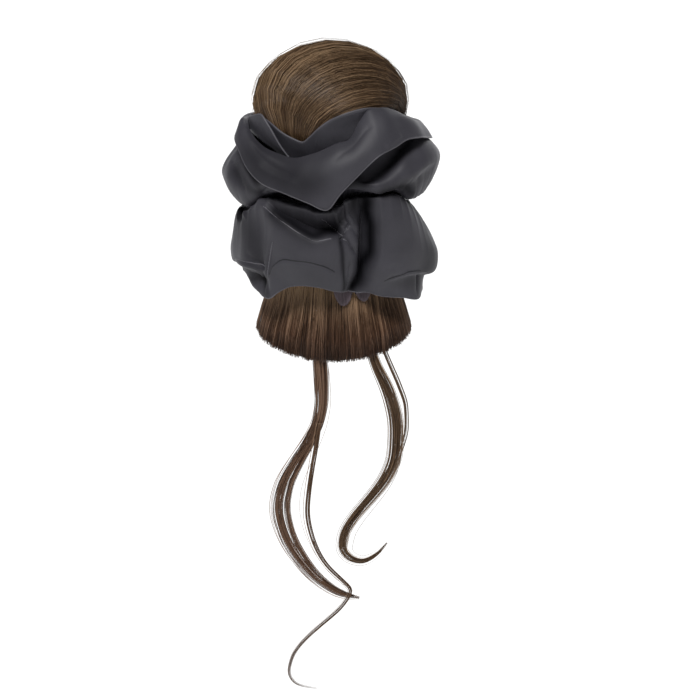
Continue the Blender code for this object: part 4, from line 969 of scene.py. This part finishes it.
def build_frills():
    angles = ring_angles()
    layer = CLOTH + LAYER_GAP
    root_reach = CLOTH / (FRILL_RADIUS - ROOT_RADIUS)

    inner = cloth_grid(INNER_COLLAR, UPPER_RISE, angles)
    inner = rippled(inner, angles, 0.0003, 0.020, 11)
    inner = lay_outside(inner, bun_envelope(angles), CLOTH / 2 + 2 * LAYER_GAP)

    upper = cloth_grid(with_root(UPPER_FRILL, (root_reach, CLOTH / UPPER_RISE)), UPPER_RISE, angles)
    upper = gathered(upper, angles, 0.0010, 0.012, 21)
    upper = rippled(upper, angles, 0.0004, 0.024, 22)
    upper = add_creases(upper, angles, UPPER_CREASES)
    free = 2 * ROWS_PER_STATION
    upper[:, free:] = lay_outside(upper[:, free:], inner, layer)

    collar = cloth_grid(COLLAR, UPPER_RISE, angles)
    collar = rippled(collar, angles, 0.0003, 0.030, 31)
    collar = add_creases(collar, angles, COLLAR_CREASES)
    collar = lay_outside(collar, upper, layer)

    lower = cloth_grid(with_root(LOWER_FRILL, (root_reach, CLOTH / LOWER_DROP)), -LOWER_DROP, angles)
    lower = gathered(lower, angles, 0.0010, 0.012, 41)
    lower = rippled(lower, angles, 0.0004, 0.026, 42)
    lower = add_creases(lower, angles, LOWER_CREASES)
    start = ROWS_PER_STATION
    lower[:, start:] = hang_below(lower[:, start:], upper, layer)

    flap_angles = np.linspace(INNER_FLAP[0][0], INNER_FLAP[-1][0], 60)
    flap = cloth_grid(INNER_FLAP, UPPER_RISE, flap_angles, closed=False)

    # The hems are drawn in the painted highlight satin.
    add_hem("collar_hem", collar[:, -1], HEM_RADIUS, True, SATIN_PAINTED_HIGHLIGHT)
    add_hem("lower_frill_hem", lower[:, -1], HEM_RADIUS, True, SATIN_PAINTED_HIGHLIGHT)
    add_hem("inner_collar_hem", inner[:, -1], HEM_RADIUS, True, SATIN_PAINTED_HIGHLIGHT)
    add_hem("inner_flap_hem", flap[:, -1], HEM_RADIUS, False, SATIN_PAINTED_HIGHLIGHT)
    for name, material, radius, places in LOWER_SEAMS:
        line = crease_line(lower, angles, places)
        add_hem(name, line, radius, False, material).name
    add_cloth("inner_collar_cloth", inner, angles, True, "inner_collar")
    add_cloth("upper_frill_cloth", upper, angles, True, "upper_frill", painted_shades=UPPER_PAINTED_SHADES)
    add_cloth(
        "collar_cloth", collar, angles, True, "collar",
        painted_shades=COLLAR_PAINTED_SHADES,
    )
    add_cloth(
        "lower_frill_cloth", lower, angles, True, "lower_frill",
        painted_shades=LOWER_PAINTED_SHADES,
    )
    add_cloth(
        "inner_flap_cloth", flap, flap_angles, False, "inner_flap",
    )


def add_ring(name, rings, node, material):
    """A closed ring whose section is the given rings of points, in turn."""
    grid = np.stack(rings + rings[:1], axis=1)
    columns, rows = grid.shape[:2]
    faces = grid_faces(columns, rows - 1, True)
    last = np.arange(columns)
    nearby = (last + 1) % columns
    count = rows - 1
    corners = [last * count + count - 1, nearby * count + count - 1, nearby * count, last * count]
    faces = np.concatenate([faces, np.stack(corners, axis=-1)])
    obj = add_mesh(name, grid[:, :-1].reshape(-1, 3), faces, material)
    uv = obj.data.uv_layers.new(name="cloth")
    indices = np.zeros(len(obj.data.loops), int)
    obj.data.loops.foreach_get("vertex_index", indices)
    spots = np.stack([indices // count * 0.0008, indices % count * 0.0015], axis=-1)
    uv.data.foreach_set("uv", spots.astype(float).ravel())
    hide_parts(node)
    return obj


def section(outline, steps):
    """A closed section's points on a smooth curve through its corners."""
    knots = np.arange(len(outline))
    at = np.linspace(0, len(outline), steps * len(outline), endpoint=False)
    return smooth_curve(knots, np.array(outline, float), at, len(outline))


def build_gathers():
    angles = ring_angles()
    fine = pleats(angles, 70, 51)
    outline = [(0.0, -0.5), (0.6, -0.5), (1.0, -0.2), (1.0, 0.2), (0.6, 0.5), (0.0, 0.5)]
    rings = []
    for out, up in section(outline, 3):
        depth = np.clip(out, 0, 1) * (GATHER_THICKNESS - 0.0018 * (1 - fine))
        rings.append(on_ring(angles, NECK_RADIUS + GAP + depth, WAIST_HEIGHT + up * GATHER_HEIGHT))
    add_ring("waist_gathers_cloth", rings, "waist_gathers", SATIN)

    drop = np.zeros(len(angles))
    for angle, half_width, share in CASING_NUBS:
        drop += share * NUB_DROP * np.clip(1 - ((angles - angle) / half_width) ** 2, 0, 1) ** 0.6
    outline = [
        # out, up, share of the drop
        (0.0, 0.0, 1.0),
        (0.7, -0.1, 1.0),
        (1.0, 0.2, 0.7),
        (1.0, 0.7, 0.0),
        (0.6, 1.0, 0.0),
        (0.0, 1.0, 0.0),
    ]
    rings = []
    for out, up, share in section(outline, 3):
        level = CASING_LEVEL + up * CASING_HEIGHT - np.clip(share, 0, 1) * drop
        depth = np.clip(out, 0, 1) * (CASING_THICKNESS - 0.0016 * (1 - fine))
        rings.append(on_ring(angles, skirt_radius(level) + 2 * GAP + depth, level))
    add_ring("casing_cloth", rings, "casing", CASING_TINT_AND_PAINTED_LIGHT)


# The bun

def bun_flow(turns, places):
    """Points on the unit ball on arcs from BUN_START to BUN_END, by the turn of each arc's middle in degrees."""
    start = unit(np.array(BUN_START))
    end = unit(np.array(BUN_END))
    middle = (start + end) / 2
    offset = np.linalg.norm(middle)
    along = unit(end - start)
    outward = middle / offset
    side = np.cross(along, outward)
    around = np.radians(turns)[..., None]
    turn = np.arctan2(np.sin(around), np.cos(around) - offset)
    lean = np.cos(turn) * outward + np.sin(turn) * side
    normal = np.cos(turn) * side - np.sin(turn) * outward
    height = -offset * np.sin(turn)
    radius = np.sqrt(1 - height**2)
    half = np.arctan2(np.sqrt(1 - offset**2), offset * np.cos(turn))
    swing = half * (2 * np.asarray(places)[..., None] - 1)
    return height * normal + radius * (np.sin(swing) * along + np.cos(swing) * lean)


def uneven(turns, low, high, seed):
    """A smooth uneven value in about -1 to 1 round a ring, made of waves of between low and high turns."""
    random = np.random.default_rng(seed)
    total = np.zeros(np.shape(turns))
    counts = range(low, high, 3)
    for count in counts:
        total = total + np.cos(count * np.radians(turns) + random.uniform(0, 2 * np.pi))
    return total / np.sqrt(len(counts))


def lock_swell(turns):
    """How far the bun's locks stand out at each turn, as a share of BUN_RADIUS."""
    total = np.zeros_like(turns)
    for turn, width, swell in BUN_LOCKS:
        away = (turns - turn + 180) % 360 - 180
        total = total + swell * np.exp(-((away / width) ** 2))
    return total


def bun_place(turns, places, lift):
    """Points of the bun on its flow, raised by a lift, and the way out of the bun there."""
    ball = bun_flow(turns, places)
    swell = 1 + lock_swell(turns) * np.sin(np.pi * places)
    size = np.ones(ball.shape) * BUN_RADIUS
    size[..., 2] = np.where(ball[..., 2] > 0, BUN_RISE, BUN_DROP)
    points = ball * swell[..., None] * size
    out = unit(ball / size)
    points += out * np.asarray(lift)[..., None]
    points[..., 0] += BUN_OFF_CENTRE
    points[..., 2] = np.maximum(points[..., 2] + BUN_LEVEL, NECK_TOP + GAP)
    return points, out


def build_bun():
    round_turns = np.linspace(-180, 180, 180, endpoint=False)
    turns, places = np.meshgrid(round_turns, np.linspace(0, 1, 61), indexing="ij")
    points, out = bun_place(turns, places, np.full(turns.shape, -BUN_INSET))
    inner = points[:, 1:-1]
    columns, rows = inner.shape[:2]
    corners = np.concatenate([inner.reshape(-1, 3), points[:1, 0], points[:1, -1]])
    faces = grid_faces(columns, rows, True)[:, ::-1].tolist()
    first, last = columns * rows, columns * rows + 1
    for c in range(columns):
        nearby = (c + 1) % columns
        faces.append((first, nearby * rows, c * rows)[::-1])
        faces.append((last, c * rows + rows - 1, nearby * rows + rows - 1)[::-1])
    count = len(corners)
    # Painted shade: the core takes the darkest hair colour, so the gaps between the strands look like shadowed
    # hair beneath.
    values = {"shade": np.full(count, 0.02), "warmth": np.full(count, 0.3)}
    core = add_mesh("bun_core", corners, faces, HAIR, values)
    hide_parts("bun")

    random = np.random.default_rng(5)
    places = np.linspace(0.0, 1.0, 16)[None, :]
    count = BUN_STRANDS
    base = np.linspace(-180, 180, count, endpoint=False) + random.uniform(-0.4, 0.4, count)
    swing = random.normal(0, 1.6, (count, 1))
    phase = random.uniform(0, 6.3, (count, 1))
    wander = swing * np.sin(2 * np.pi * places + phase)
    turns = base[:, None] + wander
    wisps = uneven(turns, 26, 80, 71)
    lift = 0.0004 * wisps * np.sin(np.pi * places) + random.uniform(-0.0003, 0.0003, (count, 1))
    paths, out = bun_place(turns, np.broadcast_to(places, turns.shape), lift)
    taper = 0.35 + 0.65 * np.sin(np.pi * places) ** 0.7
    radii = STRAND_RADIUS * taper * random.uniform(0.6, 1.2, (count, 1))
    # Painted highlight and shade along the strands: a lighter band near the middle of each strand, darker
    # towards its end. The lock term darkens strands in the grooves between locks and lightens them on the locks:
    # painted shade.
    painted_highlight_and_shade = 0.15 * np.exp(-(((places - 0.40) / 0.13) ** 2)) - 0.16 * np.clip(places - 0.62, 0, 1) / 0.38
    tone = 0.38 + 0.07 * uneven(base, 5, 17, 72) + 2.6 * lock_swell(base) + random.normal(0, 0.17, count)
    shade = np.clip(tone[:, None] + 0.08 * wisps + painted_highlight_and_shade, 0.04, 0.95)
    add_strands("bun_strands", paths, radii, out, HAIR, shade, np.full(turns.shape, 0.25))

    count = BUN_FINE_STRANDS
    base = random.uniform(-180, 180, count)
    slant = random.normal(0, 6.0, (count, 1)) * (places - 0.5) * 2
    turns = base[:, None] + slant + random.normal(0, 2.0, (count, 1)) * np.sin(2 * np.pi * places)
    loose = random.random((count, 1)) < 0.06
    flying = random.uniform(0.0008, 0.0026, (count, 1))
    lying = random.uniform(0.0001, 0.0006, (count, 1))
    height = np.where(loose, flying, lying)
    lift = height * np.sin(np.pi * places) ** 0.5
    paths, out = bun_place(turns, np.broadcast_to(places, turns.shape), lift)
    radii = FINE_RADIUS * (0.4 + 0.6 * np.sin(np.pi * places)) * random.uniform(0.7, 1.3, (count, 1))
    # Painted highlight and shade along the fine strands: a lighter band near the middle, darker towards the end.
    painted_highlight_and_shade = 0.22 * np.exp(-(((places - 0.40) / 0.15) ** 2)) - 0.22 * np.clip(places - 0.60, 0, 1) / 0.40
    tone = random.normal(0.50, 0.20, count) + 0.06 * uneven(base, 5, 17, 72)
    shade = np.clip(tone[:, None] + painted_highlight_and_shade, 0.1, 1)
    add_strands("bun_fine_strands", paths, radii, out, HAIR, shade, np.full(turns.shape, 0.2))


# The skirt

def skirt_radius(height):
    """Outer radius of the skirt and neck at a height."""
    table = np.array(SKIRT_PROFILE)
    share = np.interp(height / NECK_TOP, table[:, 0], table[:, 1])
    return RIM_RADIUS + (NECK_RADIUS - RIM_RADIUS) * share


def hollow_radius(height):
    """Inner radius of the skirt's hollow at a height."""
    table = np.array(HOLLOW_PROFILE)
    share = np.interp(height / HOLLOW_DEPTH, table[:, 0], table[:, 1])
    return (RIM_RADIUS - RIM_THICKNESS) * share


def rim_level(angle):
    """Height of the skirt's rim, which rises a little at the sides."""
    return RIM_LIFT * np.sin(np.radians(angle)) ** 2


def front_dip(angle):
    """How far the hair's ends reach below the rim, in front and not behind."""
    return FRONT_DIP * np.cos(np.radians(angle) / 2) ** 4


def build_skirt():
    angles = np.linspace(-180, 180, 144, endpoint=False)
    lift = rim_level(angles) - front_dip(angles) + 0.0008
    rings = []
    for share in np.linspace(1, 0, 12):
        level = share * HOLLOW_DEPTH
        rings.append(on_ring(angles, hollow_radius(level) + SKIRT_INSET, level + lift * (1 - share)))
    for share in np.linspace(0, 1, 24) ** 1.3:
        level = share * NECK_TOP
        rings.append(on_ring(angles, skirt_radius(level) - SKIRT_INSET, level + lift * (1 - share) ** 5))
    grid = np.stack(rings, axis=1)
    grid[..., 0] += SKIRT_SHIFT
    columns, rows = grid.shape[:2]
    faces = grid_faces(columns, rows, True).tolist()
    faces.append([c * rows for c in range(columns)][::-1])
    faces.append([c * rows + rows - 1 for c in range(columns)])
    count = columns * rows
    # Painted shade: the core takes a near-darkest hair colour, so the gaps between the strands look like
    # shadowed hair beneath.
    values = {"shade": np.full(count, 0.05), "warmth": np.full(count, 0.6)}
    core = add_mesh("skirt_core", grid.reshape(-1, 3), faces, HAIR, values)
    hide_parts("hair_base")

    random = np.random.default_rng(9)
    steps = np.linspace(0, 1, 7)[None, :]
    count = SKIRT_STRANDS
    start = random.uniform(-180, 180, count)
    wisps = uneven(start, 22, 90, 91)
    spread = random.normal(0, 2.6, (count, 1)) * steps**1.5
    angle = start[:, None] + spread + 1.2 * uneven(start, 16, 40, 92)[:, None] * steps**2
    ragged = random.uniform(-0.0005, 0.0008, (count, 1)) + 0.0004 * uneven(start, 20, 60, 94)[:, None]
    end = rim_level(angle[:, -1:]) - front_dip(angle[:, -1:]) + ragged
    level = SKIRT_STRAND_TOP + (end - SKIRT_STRAND_TOP) * steps
    depth = random.uniform(0, 1, (count, 1)) ** 1.8 * RIM_THICKNESS * 0.9
    inside = depth * np.clip(1 - level / HOLLOW_DEPTH, 0.1, 1)
    radius = skirt_radius(np.maximum(level, 0)) - inside + 0.0004 * wisps[:, None] * steps + 0.0006 * steps**3
    paths = on_ring(angle, radius, level)
    paths[..., 0] += SKIRT_SHIFT
    out = on_ring(angle, np.ones_like(radius), 0 * radius)
    radii = STRAND_RADIUS * np.ones_like(radius) * random.uniform(0.6, 1.2, (count, 1))
    radii[:, -1] *= 0.6
    tone = 0.44 + 0.08 * wisps + 0.06 * uneven(start, 4, 14, 93) + random.normal(0, 0.17, count)
    # Painted light: strands lighter at the height where the frill above shades them, more on the left than the
    # right. The side term makes strands lighter at the sides and darker in front.
    painted_light_under_frill = 0.55 * np.exp(-(((level - 0.046) / 0.019) ** 2)) * (1 - 0.5 * np.sin(np.radians(angle)))
    side = 0.07 * np.abs(np.sin(np.radians(angle))) - 0.05 * np.cos(np.radians(angle))
    shade = np.clip(tone[:, None] + painted_light_under_frill + side, 0.04, 1)
    warmth = np.clip(1.2 - level / 0.040, 0.1, 1.0)
    add_strands("skirt_strands", paths, radii, out, HAIR, shade, warmth)

    count = HOLLOW_STRANDS
    steps = np.linspace(0, 1, 9)[None, :]
    start = random.uniform(-180, 180, count)
    angle = start[:, None] + random.normal(0, 2.5, (count, 1)) * steps
    end = rim_level(angle[:, -1:]) - front_dip(angle[:, -1:]) + random.uniform(0.0002, 0.0016, (count, 1))
    level = HOLLOW_DEPTH * 0.98 + (end - HOLLOW_DEPTH * 0.98) * steps
    radius = hollow_radius(level) + random.uniform(0.0, 0.0006, (count, 1))
    paths = on_ring(angle, radius, level)
    paths[..., 0] += SKIRT_SHIFT
    out = -on_ring(angle, np.ones_like(radius), 0 * radius)
    radii = STRAND_RADIUS * np.ones_like(radius) * random.uniform(0.7, 1.2, (count, 1))
    shade = np.clip(random.normal(0.35, 0.18, count), 0, 1)
    add_strands("hollow_strands", paths, radii, out, HAIR, shade, np.full(radius.shape, 0.6))


# The tendrils

def rim_start(rows):
    """Where a lock that hangs under the rim starts."""
    across = rows[0][1] * TENDRIL_SWING
    middle = RIM_RADIUS - RIM_THICKNESS / 2
    level = rim_level(np.degrees(np.arcsin(across / middle))) - GAP
    return -((middle**2 - across**2) ** 0.5), level


def branch_start(rows, parent, parent_rows):
    """Where a lock that leaves another lock's front starts."""
    drop, width = rows[0][0], rows[0][3]
    table = np.array(parent_rows, float)
    start_depth, start_level = parent
    depth = start_depth + np.interp(drop, table[:, 0], table[:, 2]) * TENDRIL_SWING
    widths = width + np.interp(drop, table[:, 0], table[:, 3])
    return depth - widths * TENDRIL_WIDTH / 2 * LOCK_FLATNESS - GAP, start_level


def build_tendril(name, node, rows, start, count, samples, seed, warmth, clusters, stray, rooted=True):
    """A loose lock: strands in a few thin bundles along a spine, and some stray ones outside it."""
    random = np.random.default_rng(seed)
    table = np.array(rows, float)
    depth, level = start
    across = table[:, 1] * TENDRIL_SWING
    back = depth + (table[:, 2] - table[0, 2]) * TENDRIL_SWING
    spine = np.stack([across, back, level - table[:, 0] * TENDRIL_DROP], axis=1)
    knots = np.arange(len(table))
    at = np.linspace(0, knots[-1], samples)
    path = smooth_curve(knots, spine, at)
    path = softened(path, samples / 60, False)
    if rooted:
        path[:, 2] += TENDRIL_ROOT * np.linspace(1, 0, samples) ** 12
    width = smooth_curve(knots, table[:, 3:4], at)[:, 0] * TENDRIL_WIDTH / 2
    ahead = unit(np.gradient(path, axis=0))
    side = unit(np.cross(ahead, np.array([0.0, -1.0, 0.0])))
    out = np.cross(side, ahead)
    steps = np.linspace(0, 1, samples)[None, :]
    bundle = random.integers(0, clusters, count)
    centre = np.linspace(-0.85, 0.85, clusters)[bundle] if clusters > 1 else np.zeros(count)
    u = centre[:, None] * (0.7 + 0.3 * steps) + random.normal(0, 1.1 / clusters, (count, 1))
    phase = random.uniform(0, 2 * np.pi, (clusters, 1))[bundle]
    u = u + 0.22 * np.sin(2 * np.pi * steps * 1.3 + phase) + random.normal(0, 0.12, (count, 1)) * steps
    v = random.uniform(-1, 1, (count, 1)) * 0.8 + 0.3 * np.sin(2 * np.pi * steps + phase)
    away = random.random(count) < stray
    u = np.where(away[:, None], u + random.normal(0, 1.1, (count, 1)) * steps**0.7, u)
    extra = 0.0006 * away[:, None] * steps
    paths = (
        path[None]
        + side[None] * (u * width[None, :] + np.sign(u) * extra)[..., None]
        + out[None] * (v * width[None, :] * LOCK_FLATNESS)[..., None]
    )
    reach = np.where(random.random(count) < 0.55, 1.0, random.uniform(0.72, 1.0, count))
    at = steps * reach[:, None] * (samples - 1)
    low = np.clip(np.floor(at).astype(int), 0, samples - 2)
    part = (at - low)[..., None]
    index = np.arange(count)[:, None]
    paths = paths[index, low] * (1 - part) + paths[index, low + 1] * part
    radii = STRAND_RADIUS * (1 - 0.50 * steps) * random.uniform(0.6, 1.3, (count, 1))
    radii = radii * np.clip((1.0 - steps) * 12, 0.25, 1)
    shade = np.clip(random.normal(0.62, 0.2, count), 0, 1)
    made = add_strands(
        name, paths, radii, np.broadcast_to(out[None], paths.shape), HAIR, shade, np.full(radii.shape, warmth)
    )
    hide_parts(node)
    return made


def build_tendrils():
    left = rim_start(LEFT_TENDRIL)
    curl = branch_start(LEFT_CURL, left, LEFT_TENDRIL)
    build_tendril("left_tendril_strands", "left_tendril", LEFT_TENDRIL, left, 150, 56, 61, 0.9, 6, 0.08)
    build_tendril("left_curl_strands", "left_curl", LEFT_CURL, curl, 26, 80, 62, 0.6, 3, 0.2, False)
    right = rim_start(RIGHT_TENDRIL)
    build_tendril("right_tendril_strands", "right_tendril", RIGHT_TENDRIL, right, 84, 60, 63, 0.35, 6, 0.12)
    wisp = rim_start(RIGHT_WISP)
    build_tendril("right_wisp_strands", "right_wisp", RIGHT_WISP, wisp, 16, 48, 64, 0.3, 2, 0.2)


# The comb keeps its solid and gets its plastic
def finish_comb():
    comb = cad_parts["comb"]
    for place in comb.material_slots:
        place.material = comb_material()


# Camera, light and floor

# The floor is as far below the hairpiece as it is when worn
FLOOR_LEVEL = -1.7
FLOOR_SIZE = 90
CAMERA_TARGET = (0.0117, 0.0, -0.0131)
CAMERA_DISTANCE = 1.70625
CAMERA_TILT = 20
LENS = 135
SENSOR_WIDTH = 36
STUDIO_LIGHT = 0.16
SUNS = [
    # name, energy, softness in degrees, place
    ("key", 3.70, 16, (-0.20, -1.10, 1.40)),
    ("back_light", 0.9, 40, (0.40, 1.20, 0.30)),
]



def aim(obj, at):
    obj.rotation_mode = "QUATERNION"
    obj.rotation_quaternion = (Vector(at) - obj.location).to_track_quat("-Z", "Y")


def build_stage():
    scene = bpy.context.scene
    data = bpy.data.cameras.new("camera")
    camera = bpy.data.objects.new("camera", data)
    scene.collection.objects.link(camera)
    scene.camera = camera
    data.lens = LENS
    data.sensor_width = SENSOR_WIDTH
    data.clip_end = 100
    target = Vector(CAMERA_TARGET)
    tilt = np.radians(CAMERA_TILT)
    camera.location = target + CAMERA_DISTANCE * Vector((0, -np.cos(tilt), np.sin(tilt)))
    aim(camera, target)

    bpy.ops.mesh.primitive_plane_add(size=FLOOR_SIZE, location=(0, 0, FLOOR_LEVEL))
    floor = bpy.context.object
    floor.name = "floor"
    floor.data.materials.append(floor_material())

    world = bpy.data.worlds.new("studio")
    scene.world = world
    world.use_nodes = True
    world.node_tree.nodes["Background"].inputs["Color"].default_value = (1, 1, 1, 1)
    world.node_tree.nodes["Background"].inputs["Strength"].default_value = STUDIO_LIGHT
    for name, energy, softness, place in SUNS:
        light = bpy.data.lights.new(name, "SUN")
        light.energy = energy
        light.angle = np.radians(softness)
        sun = bpy.data.objects.new(name, light)
        scene.collection.objects.link(sun)
        sun.location = place
        aim(sun, (0, 0, 0))
    scene.view_settings.view_transform = "Standard"


build_stage()
build_bun()
build_skirt()
build_tendrils()
build_gathers()
build_frills()
finish_comb()
